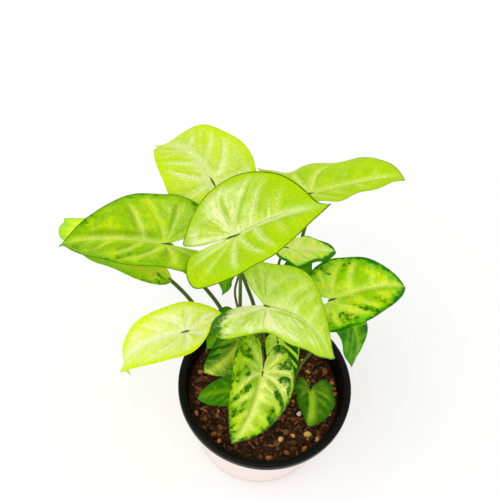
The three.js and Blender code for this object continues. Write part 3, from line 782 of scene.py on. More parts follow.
SIDED_PARTS = ("Half", "Lobe", "Lift", "Fold", "Curl")
BLADE_SIZES = ("Length", "Half left", "Half right", "Lobe left", "Lobe right")
BLADE_ANGLES = (
    "Arch", "Sway", "Lift left", "Lift right", "Fold left", "Fold right", "Curl left", "Curl right",
)
HOOK_PARTS = ("Hook ahead", "Hook left", "Hook up")


def socket_names(values):
    """The values under their sockets' names. A pair becomes one value on the left and one on the right."""
    named = {}
    for key, value in values.items():
        title = key.replace("_", " ").capitalize()
        if isinstance(value, tuple) and len(value) == 2:
            named[title + " left"], named[title + " right"] = value
        else:
            named[title] = value
    return named


def blade_values(leaf):
    """The leaf's sizes, and its angles in radians, under the names of the bending tree's inputs."""
    values = socket_names(leaf)
    values.update(zip(HOOK_PARTS, leaf["hook"]))
    for name in BLADE_ANGLES:
        values[name] = math.radians(values[name]) + (0 if name.startswith("Fold") else TINY)
    return {name: values[name] for name in (*BLADE_SIZES, *BLADE_ANGLES, *HOOK_PARTS, "Ripple", "Phase")}


def arc(turn, share, length):
    """How far ahead and down an arc of this length and turn has gone after its share, and its angle there."""
    angle = turn * share
    return sine(angle) / turn * length, (1 - cosine(angle)) / turn * length, angle


def bent_point(leaf, u, out, left):
    """Where a point of the left (1) or right (0) half lies on the bent blade, from the leafstalk's end."""
    half, lobe, lift, fold, curl = (pick_side(leaf, part, left) for part in SIDED_PARTS)
    length = leaf["Length"]
    front = exceeds(u, 0.0)
    reach = pick(front, length, lobe)
    ahead, down, angle = arc(pick(front, leaf["Arch"], lift * -1), u, reach)
    bow_ahead, bow_left, bow = arc(leaf["Sway"], larger(u, 0.0), length)
    shift = bow_ahead - larger(u, 0.0) * length
    across = (sine(fold) - sine(fold - curl * out)) / curl * half * (left * 2 - 1)
    wave = sine(u * reach / length * (2 * math.pi * RIPPLES) + leaf["Phase"] + (1 - left))
    wave = wave * smaller(u + 1, 1.0) * (out * out) * leaf["Ripple"]
    raised = (cosine(fold - curl * out) - cosine(fold)) / curl * half + wave
    bent = larger(u - HOOK_START, 0.0) / (1 - HOOK_START)
    hook_ahead, hook_left, hook_up = (leaf[name] * (bent * bent) for name in HOOK_PARTS)
    x = ahead + shift + raised * sine(angle) - across * sine(bow) * cosine(angle) + hook_ahead
    y = bow_left + across * cosine(bow) + hook_left
    z = raised * cosine(angle) + across * sine(bow) * sine(angle) - down + hook_up
    return x, y, z


def vein_map(leaf, u, out):
    """Numbers the side veins: whole numbers fall on a vein, counted from the one beside the leafstalk.

    Also gives the distance from one vein to the next, in the unit of the leaf's length."""
    sweep = u - out * VEIN_LEAN - out * out * VEIN_CURVE
    front = exceeds(sweep, 0.0)
    ahead = sweep / VEIN_SPACING
    ahead += sine(ahead * VEIN_DRIFT_RATE) * VEIN_DRIFT
    behind = calculate("ARCTAN2", sweep * -1, out + TINY) / LOBE_VEIN_ANGLE
    number = pick(front, ahead, behind * -1)
    spread = calculate("SQRT", sweep * sweep + out * out) * leaf["Lobe left"]
    return number, pick(front, leaf["Length"] * VEIN_SPACING, spread * LOBE_VEIN_ANGLE)


def plan_of(tree):
    """Where a point lies in the leaf's outline units: along the midrib, and outwards from it."""
    return stored(tree, "plan_u"), larger(stored(tree, "plan_out"), 0.0)


def bending_tree():
    """The Geometry Nodes tree that bends a flat leaf sheet, presses its veins in and turns it into place."""
    inputs = [(name, "Float", 0.03) for name in BLADE_SIZES]
    inputs += [(name, "Float", 0.2) for name in BLADE_ANGLES]
    inputs += [(name, "Float", 0.0) for name in (*HOOK_PARTS, "Phase", "Ripple", "Groove", "Quilt")]
    inputs += [("Place", "Vector", None), ("Turn", "Vector", None)]
    tree, leaf = shape_group("Bend a leaf blade", inputs)
    u, v, _ = split(add_node(tree, "GeometryNodeInputPosition"))
    left = stored(tree, "left_half")
    bent = moved(leaf["Geometry"], Position=gather(*bent_point(leaf, u, v * (left * 2 - 1), left)))
    plan_u, out = plan_of(tree)
    number, _ = vein_map(leaf, plan_u, out)
    inner = ease(stored(tree, "rim"), 1.0, 0.7)
    midrib = bump_of(out * leaf["Half left"], GROOVE_WIDTH)
    midrib = midrib * ease(plan_u, -0.05, 0.05) * ease(plan_u, 1.0, 0.6)
    pillows = calculate("ABSOLUTE", sine(number * math.pi)) * (ease(out, 0.05, 0.3) * inner)
    pressed = swollen(bent, pillows * leaf["Quilt"] - midrib * leaf["Groove"])
    sockets = {"Geometry": pressed, "Translation": leaf["Place"], "Rotation": leaf["Turn"]}
    return finish_shape(add_node(tree, "GeometryNodeTransform", sockets), leaf["Material"])


def half_outline(leaf, side):
    """The outline of the left (0) or right (1) half, with that half's own fullness, waist and gape."""
    full, waist, gape = (leaf[name][side] for name in ("full", "waist", "gape"))
    points = []
    for k, (u, v) in enumerate(HALF_OUTLINE):
        if k > LOBE_END:
            v -= gape * u
        else:
            v = v**full if u > 0 else v
            v *= 1 - waist * bell(u - WAIST_AT, WAIST_WIDTH)
        points.append(Vector((u, v + gape / 2 if k == LOBE_END else v)))
    return points


def outline_point(points, t):
    """A point of a half outline: t runs from 0 at the drip tip to 1 at the leafstalk."""
    last = len(points) - 1
    start = min(int(t * last), last - 1)
    p0, p1, p2, p3 = (points[min(max(start + k, 0), last)] for k in (-1, 0, 1, 2))
    return hermite(p1, p2, (p2 - p0) / 2, (p3 - p1) / 2, t * last - start)


def flat_leaf(leaf, spokes, rings):
    """The leaf in spokes from the leafstalk to the outline, from the left lobe over the tip to the right."""
    outlines = [half_outline(leaf, side) for side in (0, 1)]
    vertices = [(0.0, 0.0, 0.0)]
    rim, out, left = [0.0], [0.0], [1.0]
    for k in range(1 - spokes, spokes):
        side = 0 if k <= 0 else 1
        edge = outline_point(outlines[side], abs(k) / spokes)
        for ring in range(1, rings + 1):
            share = ring / rings
            vertices.append((edge.x * share, (1 - 2 * side) * edge.y * share, 0.0))
            rim.append(share)
            out.append(edge.y * share)
            left.append(1.0 - side)
    faces = []
    for spoke in range(2 * spokes - 2):
        a, b = 1 + spoke * rings, 1 + (spoke + 1) * rings
        faces.append((0, b, a))
        faces += [(a + r, b + r, b + r + 1, a + r + 1) for r in range(rings - 1)]
    piece = new_piece("blade_" + leaf["name"], vertices, faces)
    store(piece, rim=rim, plan_u=[x for x, _, _ in vertices], plan_out=out, left_half=left)
    thin = piece.vertex_groups.new(name="thickness")
    for vertex, share in enumerate(rim):
        thin.add([vertex], 1 - EDGE_THINNING * share**6, "REPLACE")
    return piece


# ---- Leaf finishes -------------------------------------------------------------------------------

MARKING_COLOURS = ("Field", "Deep", "Cream", "Margin", "Dark")
MARKING_SHARES = (
    "Cream share", "Vein share", "Midrib share", "Deep share", "Net share", "Streaks", "Margin share",
    "Dark margin", "Dark tip", "Dark lobe left", "Dark lobe right", "Dark half left", "Dark half right",
    "Dark edge line", "Thread share", "Pale tip", "Pale half left", "Pale half right", "Relief", "Vein fade",
    "Seed",
)
MARKING_SIZES = ("Length", "Half left", "Lobe left")


def leaf_markings():
    """The node group that draws a leaf's veins, cream bands, streaks, margins and dark patches, and painted
    shade beside its veins and midrib.
    """
    inputs = [(name, "Color", None) for name in MARKING_COLOURS]
    inputs += [(name, "Float", 0.0) for name in MARKING_SHARES]
    inputs += [(name, "Float", 0.03) for name in MARKING_SIZES]
    # Brightness is painted light: the whole colour is scaled for the light that falls on the leaf.
    inputs += [("Midrib width", "Float", 0.0011), ("Brightness", "Float", 1.0)]
    outputs = [("Colour", "Color"), ("Roughness", "Float"), ("Height", "Float")]
    tree, leaf = new_group("Leaf markings", "ShaderNodeTree", inputs, outputs)
    seed, width = leaf["Seed"], leaf["Midrib width"]
    place = object_place(tree)
    rim = stored(tree, "rim")
    left = exceeds(stored(tree, "left_half"), 0.5)
    drift = noise_at(place, 60.0, 1.0) - 0.5
    u, out = plan_of(tree)
    u += drift * 0.06
    number, spacing = vein_map(leaf, u, out)

    # Noise from wide clouds to fine specks, streaks brushed along the veins, and two nets. The wide net is
    # read at one number for each place, the mean of its three, so it runs across the leaf in slanting lines.
    clouds = noise_at(place, 60.0, 2.0, 0.5) - 0.5
    patches = noise_at(place, 150.0, 3.0, 0.6) - 0.5
    mottle = noise_at(place, 420.0, 3.0, 0.65) - 0.5
    specks = noise_at(place, 1500.0, 2.0, 0.6) - 0.5
    brush = gather(number * 3.4, out * 1.5 + seed, seed)
    streaks = ease(noise_at(brush, 1.2, 2.0, 0.55), 0.48, 0.66)
    fine_net = net_at(place, 640.0, 0.14)
    wide_net = net_at(place + drift * 0.01, 230.0, 0.09)

    # Distances in metres to the nearest side vein and to the midrib. Each side vein has its own strength.
    between = calculate("PINGPONG", number, 0.5)
    which = calculate("FLOOR", number + 0.5)
    strength = noise_at(gather(which * 3.7 + seed, left * 5.3 + seed), 1.0, 0.0)
    strength = ease(strength + patches * 0.7, 0.2, 0.6) * ease(rim, 0.96, 0.6)
    strength = strength * (1 - ease(u, 0.2, 0.75) * leaf["Vein fade"])
    to_side = between * spacing
    to_middle = out * leaf["Half left"] + ease(u, 0.02, -0.1) * 0.02
    away = (calculate("FRACT", number + 0.5) - 0.5) * spacing
    side_line = bump_of(to_side, 0.0005) * strength
    side_band = bump_of(to_side, 0.002) * strength
    side_thread = bump_of(away - 0.0006, 0.00022) * strength * ease(rim, 0.8, 0.3) * ease(out, 0.05, 0.2)
    # side_shade and middle_shade are painted shade: a band on one side of each side vein, and one beside the
    # midrib on the right half.
    side_shade = bump_of(away - 0.0028, 0.0017) * strength * ease(out, 0.08, 0.25) * ease(rim, 1.0, 0.7)
    along = ease(u, 1.02, 0.6)
    middle_thread = bump_of(to_middle - 0.0006, 0.00024) * ease(u, 0.8, 0.3) * left
    middle_line = bump_of(to_middle, width * 0.55) * along
    middle_band = bump_of(to_middle, width * 2.6) * along
    middle_shade = bump_of(to_middle - 0.0042, 0.0024) * ease(u, 0.0, 0.15) * ease(u, 0.9, 0.6) * (1 - left)
    shades = larger(side_shade, middle_shade)

    # Deeper green in patches and as painted shade beside the veins and the midrib, the margin, then cream
    # over the veins and the middle.
    deep = ease(patches * 1.7 + clouds * 1.2 + mottle * 0.6 + between * 0.5, -0.2, 0.32)
    deep = larger(deep, shades * 0.9) * leaf["Deep share"]
    colour = blend(deep, leaf["Field"], leaf["Deep"])
    edge = ease(rim + patches * 0.3 + mottle * 0.15, 0.74, 1.0)
    colour = blend(edge * leaf["Margin share"], colour, leaf["Margin"])
    spread = streaks * leaf["Streaks"] + ease(rim + clouds * 1.1 + mottle * 0.4, 0.45, 0.0) * 0.6
    brushed = streaks * 0.55 + ease(clouds + patches * 0.5, -0.2, 0.25) * 0.5
    lifts = pick_side(leaf, "Pale half", left) * ease(u + clouds, 0.55, 0.05) * brushed
    spread = larger(spread * leaf["Cream share"], lifts) * (1 - edge) * (1 - shades * 0.9)
    veins = larger(side_band * (0.62 + mottle), side_line * 0.9) * leaf["Vein share"]
    middle = larger(middle_band * 0.72, middle_line) * leaf["Midrib share"]
    pale = larger(larger(spread, veins), middle)
    pale += wide_net * (0.5 + patches * 1.5) * leaf["Net share"] * (1 - edge)
    pale = larger(pale, ease(u + patches * 0.5, 0.66, 0.86) * leaf["Pale tip"])
    colour = blend(smaller(pale, 1.0), colour, leaf["Cream"])

    # Dark green: a margin band, the tip, the lobes and blotches between the veins of either half.
    zone = larger(ease(rim, 0.8, 1.0) * leaf["Dark margin"], ease(u, 0.75, 1.0) * leaf["Dark tip"])
    zone = larger(zone, ease(u, -0.3, -1.0) * pick_side(leaf, "Dark lobe", left))
    islands = ease(out, 0.2, 0.5) * ease(out, 1.0, 0.8) * ease(between, 0.08, 0.3)
    zone = larger(zone, pick_side(leaf, "Dark half", left) * islands)
    blots = noise_at(gather(number * 0.8 + seed, out * 1.6, seed), 1.9, 2.0, 0.5)
    blots = blots * 0.6 + noise_at(place, 240.0, 3.0, 0.6) - 0.8
    bands = larger(side_band, middle_band)
    dark = ease(zone + blots * 1.2 + mottle * 0.8 + specks * 0.8 - bands * 0.3, 0.28, 0.68)
    edge_line = ease(rim + mottle * 0.02, 0.976, 0.99) * leaf["Dark edge line"]
    dark = larger(dark * ease(zone, 0.02, 0.2), edge_line)
    colour = blend(dark, colour, leaf["Dark"])

    tone = specks * 0.7 + mottle * 0.32 + patches * 0.2
    threads = larger(side_thread * 0.5, middle_thread) * leaf["Thread share"]
    # Relief sets how far the painted shade beside the veins and the midrib darkens the colour.
    shade = 1 - fine_net * 0.1 - threads - shades * leaf["Relief"] + tone
    # Brightness scales the colour as painted light, up for a leaf in shade and down for one in full light.
    bright = scaled(colour, shade * leaf["Brightness"])
    limited = add_node(tree, "ShaderNodeVectorMath", {0: bright, 1: BRIGHTEST}, operation="MINIMUM")
    height = specks * 0.12 + mottle * 0.2 - fine_net * 0.06 - wide_net * 0.12
    height = height - side_line * 0.3 - middle_line * 0.4
    roughness = specks * 0.15 + 0.47 + bands * 0.08 - dark * 0.06
    finish_group(tree, Colour=limited, Roughness=roughness, Height=height)
    return tree


def leaf_material(markings, leaf, index):
    """One leaf's finish. Light goes a little way into the blade, and further as green than as red or blue."""
    material, tree = new_material(
        "leaf_" + leaf["name"], Subsurface_Weight=0.12, Subsurface_Scale=0.0006,
        Subsurface_Radius=(1.0, 1.4, 0.3), Specular_IOR_Level=0.02,
    )
    values = socket_names({**FINISHES[leaf["finish"]], **leaf["look"], "seed": 1.7 * index + 0.6})
    sizes = blade_values(leaf)
    values.update({name: sizes[name] for name in MARKING_SIZES})
    group = add_node(tree, "ShaderNodeGroup", values, node_tree=markings)
    return dress(material, *all_outputs(group), strength=0.7)


def leafstalk_material():
    """Olive green, paler and pinkish at the clasping foot, with fine lengthwise lines."""
    material, tree = new_material(
        "leafstalk", Subsurface_Weight=0.1, Subsurface_Scale=0.0006, Specular_IOR_Level=0.12
    )
    along = stored(tree, "along")
    lines = noise_at(gather(stored(tree, "around") * 60, along * 6), 1.0, 3.0, 0.6)
    patches = noise_at(object_place(tree), 260.0, 3.0, 0.6)
    colour = blend(ease(along, 0.02, 0.3), rgb(172, 178, 96), rgb(94, 114, 34))
    colour = blend(ease(along, 0.35, 0.95), colour, rgb(76, 108, 14))
    colour = blend(ease(lines * 0.6 + patches * 0.4, 0.45, 0.75) * 0.45, colour, rgb(46, 78, 10))
    return dress(material, colour, lines * 0.2 + 0.32, lines * 0.2 + patches * 0.05)


# ---- Soil and pot finishes -----------------------------------------------------------------------


def crumb_material(name, dark, light, roughness=0.92):
    """Peat and bark crumbs: each lump has its own tone, with a fibrous grain."""
    material, tree = new_material(name, Specular_IOR_Level=0.12)
    place = object_place(tree)
    grain = noise_at(place, 900.0, 4.0, 0.65)
    fibres = noise_at(place, 2600.0, 2.0, 0.5)
    colour = blend(ease(stored(tree, "tone") * 0.8 + grain * 0.5, 0.4, 1.05), dark, light)
    relief = grain * 0.5 + fibres * 0.3
    return dress(material, colour, fibres * 0.1 + roughness - 0.05, relief, distance=0.0006)


def grain_material():
    """Baked clay and mineral grains, from brown through orange and tan to nearly white."""
    material, tree = new_material("mineral_grain", Specular_IOR_Level=0.3)
    tone = stored(tree, "tone")
    pits = noise_at(object_place(tree), 1500.0, 3.0, 0.6)
    colour = blend(ease(tone, 0.25, 0.5), rgb(116, 66, 30), rgb(214, 128, 60))
    colour = blend(ease(tone, 0.5, 0.8), colour, rgb(250, 196, 98))
    colour = blend(ease(tone, 0.88, 0.96), colour, rgb(250, 222, 202))
    colour = blend(ease(pits, 0.55, 0.8) * 0.6, colour, rgb(80, 48, 26))
    return dress(material, colour, pits * 0.3 + 0.55, pits * 0.6, distance=0.0005)


def black_plastic():
    """The inside and the rolled lip: black, faintly worn and dusty."""
    material, tree = new_material("pot_black", Specular_IOR_Level=0.1)
    place = object_place(tree)
    haze = noise_at(place, 45.0, 3.0, 0.6)
    scuffs = noise_at(place, 1400.0, 2.0, 0.7)
    dust = ease(haze * 0.7 + scuffs * 0.4, 0.5, 0.85)
    colour = blend(dust * 0.5, rgb(11, 10, 8), rgb(38, 34, 28))
    return dress(material, colour, haze * 0.2 + scuffs * 0.15 + 0.2, scuffs * 0.12, distance=0.0004)


def pale_plastic():
    """The outside: a very pale pink, satin, with faint flow marks of the moulding, and greyer towards the
    foot.
    """
    material, tree = new_material(
        "pot_outside", Specular_IOR_Level=0.4, Subsurface_Weight=0.08, Subsurface_Scale=0.001
    )
    place = object_place(tree)
    x, y, z = split(place)
    flow = noise_at(gather(x, y, z * 0.12), 60.0, 3.0)
    grit = noise_at(place, 1800.0, 2.0, 0.6)
    colour = blend(flow, rgb(240, 222, 216), rgb(246, 232, 227))
    colour = blend(ease(z + grit * 0.004, 0.009, 0.001) * 0.35, colour, rgb(206, 190, 180))
    return dress(material, colour, grit * 0.1 + flow * 0.1 + 0.3, grit * 0.1 + flow * 0.3, distance=0.0004)


# ---- Sweeps and scatters -------------------------------------------------------------------------


def sweep_tree():
    """The Geometry Nodes tree that sweeps a grooved round section along paths with a stored radius."""
    inputs = [("Sides", "Int", 14), ("Groove", "Float", 0.0), ("Ridges", "Float", 0.0)]
    tree, given = shape_group("Sweep a stalk", inputs)
    path = add_node(tree, "GeometryNodeMeshToCurve", {"Mesh": given["Geometry"]})
    ring = add_node(tree, "GeometryNodeCurvePrimitiveCircle", {"Resolution": given["Sides"], "Radius": 1.0})
    ring = labelled(ring, "around", add_node(tree, "GeometryNodeSplineParameter", output="Factor"))
    x, y, z = split(add_node(tree, "GeometryNodeInputPosition"))
    dent = 1 - ease(y, 0.2, 1.0) * given["Groove"]
    ribbed = 1 + cosine(stored(tree, "around") * (2 * math.pi * RIDGES)) * given["Ridges"]
    section = moved(ring, Position=gather(x * ribbed, y * dent * ribbed, z))
    sockets = {"Curve": path, "Profile Curve": section, "Scale": stored(tree, "radius"), "Fill Caps": True}
    swept = add_node(tree, "GeometryNodeCurveToMesh", sockets)
    return finish_shape(add_node(tree, "GeometryNodeSetShadeSmooth", {"Geometry": swept}), given["Material"])


def sweep(name, tree, paths, material, values):
    """A piece swept along paths: each has its points, a radius for each, and its tones at both ends."""
    vertices, edges, radii, shares = [], [], [], []
    for path, widths, (first, last) in paths:
        start = len(vertices)
        vertices += path
        edges += [(start + k, start + k + 1) for k in range(len(path) - 1)]
        radii += widths
        shares += [first + (last - first) * share for share in path_shares(path)]
    piece = new_piece(name, vertices, edges=edges)
    store(piece, radius=radii, along=shares)
    add_tree(piece, tree, {"Material": material, **values})
    make_plain(piece)
    return piece


LUMP_INPUTS = [
    ("Density", "Float", 0.0), ("Seed", "Int", 1), ("Smallest", "Float", 0.001), ("Largest", "Float", 0.002),
    ("Shape", "Vector", (1.0, 1.0, 1.0)), ("Faces", "Int", 1), ("Uneven", "Float", 0.2),
    ("Tilt", "Float", 3.1),
]


def draw_random(low, high, seed, salt):
    """A repeatable random number for each point."""
    sockets = {"Min": low, "Max": high, "Seed": seed + salt}
    return add_node(seed.tree, "FunctionNodeRandomValue", sockets, output=1)


def lump_tree(scattered):
    """The Geometry Nodes tree that sets uneven lumps on a surface, scattered over it or on its own points."""
    tree, given = shape_group("Scatter lumps" if scattered else "Set grains", LUMP_INPUTS)
    points, seed, tilt = given["Geometry"], given["Seed"], given["Tilt"]
    if scattered:
        sockets = {"Mesh": points, "Density": given["Density"], "Seed": seed}
        points = add_node(tree, "GeometryNodeDistributePointsOnFaces", sockets, "Points")
        share = draw_random(0.0, 1.0, seed, 1)
        size = given["Smallest"] + (given["Largest"] - given["Smallest"]) * share * share
        tone = draw_random(0.0, 1.0, seed, 2)
    else:
        size, tone = stored(tree, "size"), stored(tree, "tone")
    leans = (draw_random(tilt * -1, tilt, seed, salt) for salt in (3, 4))
    turn = gather(*leans, draw_random(0.0, 2 * math.pi, seed, 5))
    ball = add_node(tree, "GeometryNodeMeshIcoSphere", {"Radius": 1.0, "Subdivisions": given["Faces"]})
    sockets = {"Points": points, "Instance": ball, "Rotation": turn, "Scale": scaled(given["Shape"], size)}
    placed = add_node(tree, "GeometryNodeInstanceOnPoints", sockets)
    placed = labelled(labelled(placed, "tone", tone, "INSTANCE"), "size", size, "INSTANCE")
    real = add_node(tree, "GeometryNodeRealizeInstances", {"Geometry": placed})
    swell = noise_at(add_node(tree, "GeometryNodeInputPosition"), 700.0, 1.0) - 0.5
    return finish_shape(swollen(real, swell * stored(tree, "size") * given["Uneven"]), given["Material"])


# ---- Pot and soil --------------------------------------------------------------------------------


def inner_radius(z):
    """The radius of the pot's inside at a height."""
    slope = (RIM_RADIUS - LIP_WIDTH - BASE_RADIUS + 0.002) / POT_HEIGHT
    return BASE_RADIUS - WALL + slope * z


def wall_points(heights, gap=0.0):
    """Points on the pot's inside at these heights, or this far outside of it."""
    return [(inner_radius(z) + gap, z) for z in heights]


def pot_profile(arc_steps):
    """The pot's section as (radius, height), from the centre of its underside round to the centre inside."""
    outside = inner_radius(0) + WALL
    lip = POT_HEIGHT - LIP_HEIGHT
    bead = LIP_WIDTH / 2
    foot = [(0, 0.0008), (0.038, 0.0008), (0.0385, 0), (outside - 0.0012, 0), (outside - 0.0004, 0.0003)]
    notch = wall_points([0.0042], WALL - 0.0003)
    step = wall_points([lip - 0.003, lip], WALL + 0.0005)
    lip_side = [(RIM_RADIUS - 0.0008, lip), (RIM_RADIUS - 0.0002, lip + 0.0005), (RIM_RADIUS, lip + 0.0014)]
    rolled = []
    for k in range(arc_steps + 1):
        angle = math.pi * k / arc_steps
        height = POT_HEIGHT - LIP_BULGE * bead + LIP_BULGE * bead * math.sin(angle)
        rolled.append((RIM_RADIUS - bead + bead * math.cos(angle), height))
    return [
        *foot, *wall_points([0.001, 0.0035], WALL), *notch,
        *wall_points([0.02, 0.04, 0.058, lip - 0.0034], WALL), *step,
        *lip_side, *rolled, *wall_points([POT_HEIGHT - 0.004, 0.066, 0.05, 0.03, 0.005]),
        *wall_points([FLOOR], -0.001), (0, FLOOR),
    ]


def lathe(name, profile, sides):
    """A closed turned body from a section that starts and ends on the axis."""
    body = profile[1:-1]
    vertices = [(0, 0, profile[0][1]), (0, 0, profile[-1][1])]
    vertices += [(radius * x, radius * y, z) for radius, z in body for x, y in around(sides)]
    at = lambda row, k: 2 + row * sides + k % sides
    last = len(body) - 1
    faces = []
    for k in range(sides):
        faces.append((0, at(0, k + 1), at(0, k)))
        faces.append((1, at(last, k), at(last, k + 1)))
        faces += [(at(r, k), at(r, k + 1), at(r + 1, k + 1), at(r + 1, k)) for r in range(last)]
    return new_piece(name, vertices, faces)


def soil_height(x, y):
    """The soil's surface: a low mound with crumbs of several sizes, which dips to the wall."""
    r = math.hypot(x, y) / inner_radius(SOIL_TOP)
    coarse = math.sin(310 * x + 1.3) * math.cos(270 * y - 0.4)
    fine = math.sin(830 * x - 710 * y) * math.cos(640 * x + 900 * y + 2)
    crumbs = noise.fractal(Vector((x, y, 0.01)) * 420, 0.9, 2.1, 4)
    inside = 1 - r**6
    return SOIL_TOP + SOIL_MOUND * (1 - r * r) + SOIL_CRUMB * (coarse + 0.6 * fine + 0.7 * crumbs) * inside


def soil_sheet(name, outer, rings, sides):
    """The soil's top surface alone, as a round sheet of rings."""
    vertices = [(0, 0, soil_height(0, 0))]
    for ring in range(1, rings + 1):
        far = outer * ring / rings
        vertices += [(far * x, far * y, soil_height(far * x, far * y)) for x, y in around(sides)]
    at = lambda ring, k: 1 + (ring - 1) * sides + k % sides
    faces = [(0, at(1, k), at(1, k + 1)) for k in range(sides)]
    for ring in range(1, rings):
        faces += [(at(ring, k), at(ring + 1, k), at(ring + 1, k + 1), at(ring, k + 1)) for k in range(sides)]
    return new_piece(name, vertices, faces)


def close_soil(bed):
    """Gives the soil its wall and its underside."""
    shape = bmesh.new()
    shape.from_mesh(bed.data)
    bottom = FLOOR + SOIL_GAP
    rim = [edge for edge in shape.edges if edge.is_boundary]
    grown = bmesh.ops.extrude_edge_only(shape, edges=rim)["geom"]
    share = (inner_radius(bottom) - SOIL_GAP) / (inner_radius(SOIL_TOP) - SOIL_GAP)
    for vertex in grown:
        if isinstance(vertex, bmesh.types.BMVert):
            vertex.co = (vertex.co.x * share, vertex.co.y * share, bottom)
    bmesh.ops.contextual_create(shape, geom=[edge for edge in shape.edges if edge.is_boundary])
    bmesh.ops.recalc_face_normals(shape, faces=shape.faces)
    shape.to_mesh(bed.data)
    shape.free()


# ---- Stalks --------------------------------------------------------------------------------------


def leaf_turn(leaf):
    """The blade's roll, downward pitch and heading in radians."""
    return [math.radians(angle) for angle in leaf["turn"]]


def leaf_frame(leaf):
    """Turns the blade, bent with the leafstalk at the origin, into its place on the plant."""
    return Matrix.Translation(leaf["at"]) @ Euler(leaf_turn(leaf)).to_matrix().to_4x4()


def stalk_radius(leaf):
    """The leafstalk's radius under the blade."""
    return STALK_RADIUS + STALK_RADIUS_PER_LENGTH * leaf["length"]


def shoot_path(shoot):
    """A short stem that tapers, with a swelling at each of its leaf joints."""
    (x, y), (lean_x, lean_y), height = shoot["foot"], shoot["lean"], shoot["height"]
    path = smooth_path(
        [
            (x, y, SOIL_TOP - SHOOT_BURIED), (x, y, SOIL_TOP + 0.003),
            (x + 0.4 * lean_x, y + 0.4 * lean_y, SOIL_TOP + 0.6 * height),
            (x + lean_x, y + lean_y, SOIL_TOP + height),
        ],
        steps=16,
    )
    widths = []
    for share in path_shares(path):
        taper = SHOOT_RADIUS + (SHOOT_TIP_RADIUS - SHOOT_RADIUS) * share
        joint = max(bell(share - at, JOINT_WIDTH) for at in SHOOT_JOINTS)
        rounding = max(1 - (1 - share) / TOP_ROUNDING, 0)
        widths.append((taper + JOINT_HEIGHT * joint) * math.sqrt(max(1 - rounding**2, 0.0025)))
    return path, widths


def stalk_path(leaf):
    """The leafstalk from its clasping foot on the shoot to the blade."""
    shoot = SHOOTS[leaf["stem"]]
    angle = math.radians(leaf["side"])
    side = Vector((math.cos(angle), math.sin(angle), 0))
    tip = stalk_radius(leaf)
    foot_radius = STALK_FOOT * tip
    z = SOIL_TOP + leaf["rise"] + SOIL_MOUND
    foot = Vector((*shoot["foot"], z)) + side * (SHOOT_RADIUS + foot_radius + STALK_GAP)
    above = foot + side * 0.0008 + Vector((0.35 * shoot["lean"][0], 0.35 * shoot["lean"][1], STALK_RISE))
    approach = leaf_frame(leaf) @ Vector(STALK_APPROACH)
    path = smooth_path([foot, above, *leaf["via"], approach, leaf["at"]], steps=14)
    widths = []
    for share in path_shares(path):
        taper = foot_radius + (tip - foot_radius) * share
        extra = SHEATH * bell(share, SHEATH_LENGTH) + SWELLING * bell(share - 1, SWELLING_LENGTH)
        widths.append(taper * (1 + extra))
    return path, widths


def midrib_path(leaf, groove):
    """The midrib's keel, which runs on from the leafstalk under the blade and thins out to the tip."""
    values = {**blade_values(leaf), "Ripple": 0.0}
    turned = leaf_frame(leaf)
    path, widths = [], []
    for k in range(KEEL_STEPS + 1):
        share = k / KEEL_STEPS
        point = Vector(bent_point(values, KEEL_START + (KEEL_END - KEEL_START) * share, 0.0, 1.0))
        width = stalk_radius(leaf) * (KEEL_RADII[0] + (KEEL_RADII[1] - KEEL_RADII[0]) * share)
        slope = math.radians(leaf["arch"]) * share * KEEL_END
        down = Vector((-math.sin(slope), 0, -math.cos(slope)))
        path.append(turned @ (point + down * (width + groove)))
        widths.append(width)
    return path, widths


def knuckle_path(leaf):
    """The leafstalk's dark swollen end, which shows in the gap between the lobes."""
    values = {**blade_values(leaf), "Ripple": 0.0}
    gap = Vector()
    for side in (0, 1):
        u, v = half_outline(leaf, side)[-2]
        gap += Vector(bent_point(values, u, v, 1.0 - side))
    gap.normalize()
    ahead = Vector(bent_point(values, KNUCKLE_AHEAD, 0.0, 1.0))
    up = Vector((0, 0, KNUCKLE_RADIUS))
    length = leaf["knuckle"]
    points = [gap * length - up, gap * 0.55 * length + 0.2 * up, 0.1 * up, ahead - 0.35 * up]
    turned = leaf_frame(leaf)
    path = smooth_path([turned @ point for point in points], steps=8)
    swells = (math.sin(math.pi * (0.08 + 0.87 * share)) ** 0.6 for share in path_shares(path))
    return path, [KNUCKLE_RADIUS * swell for swell in swells]


# ---- Settings ------------------------------------------------------------------------------------


def whole_setting(name, description, default, least):
    """A setting that is a whole number."""
    return IntProperty(name=name, description=description, default=default, min=least)


def number_setting(name, description, default, least=0.0, **kind):
    """A setting that is a number."""
    return FloatProperty(name=name, description=description, default=default, min=least, **kind)


def length_setting(name, description, default, least=0.0):
    """A setting that is a length in metres."""
    return number_setting(name, description, default, least, subtype="DISTANCE", unit="LENGTH")


class PotSettings(bpy.types.PropertyGroup):
    """The pot's fineness."""

    sides: whole_setting("Sides", "Straight sides round the pot", 160, 24)
    lip_steps: whole_setting("Lip steps", "Steps round the rolled lip", 14, 4)


class SoilSettings(bpy.types.PropertyGroup):
    """The soil's surface and what lies on it."""

    rings: whole_setting("Rings", "Rings of the soil's surface", 60, 8)
    sides: whole_setting("Sides", "Steps round the soil's surface", 180, 24)
    crumb_density: number_setting("Crumb density", "Fine crumbs on each square metre", 330000.0)
    chunk_density: number_setting("Chunk density", "Larger peat lumps on each square metre", 70000.0)
    bark_density: number_setting("Bark density", "Flat bark flakes on each square metre", 16000.0)
    hidden_grains: whole_setting("Hidden grains", "Further mineral grains drawn at random", 26, 0)
    seed: whole_setting("Seed", "Start of the random draws", 11, 0)


class LeafSettings(bpy.types.PropertyGroup):
    """The leaf blades and their stalks."""

    thickness: length_setting("Thickness", "Thickness of a blade beside its midrib", 0.00045, 0.0001)
    groove: length_setting("Groove", "Depth of the groove over the midrib", 0.0003)
    quilt: length_setting("Quilt", "How far the blade swells between its side veins", 0.0008)
    step: length_setting("Step", "Size of a blade's faces", 0.0009, 0.0003)


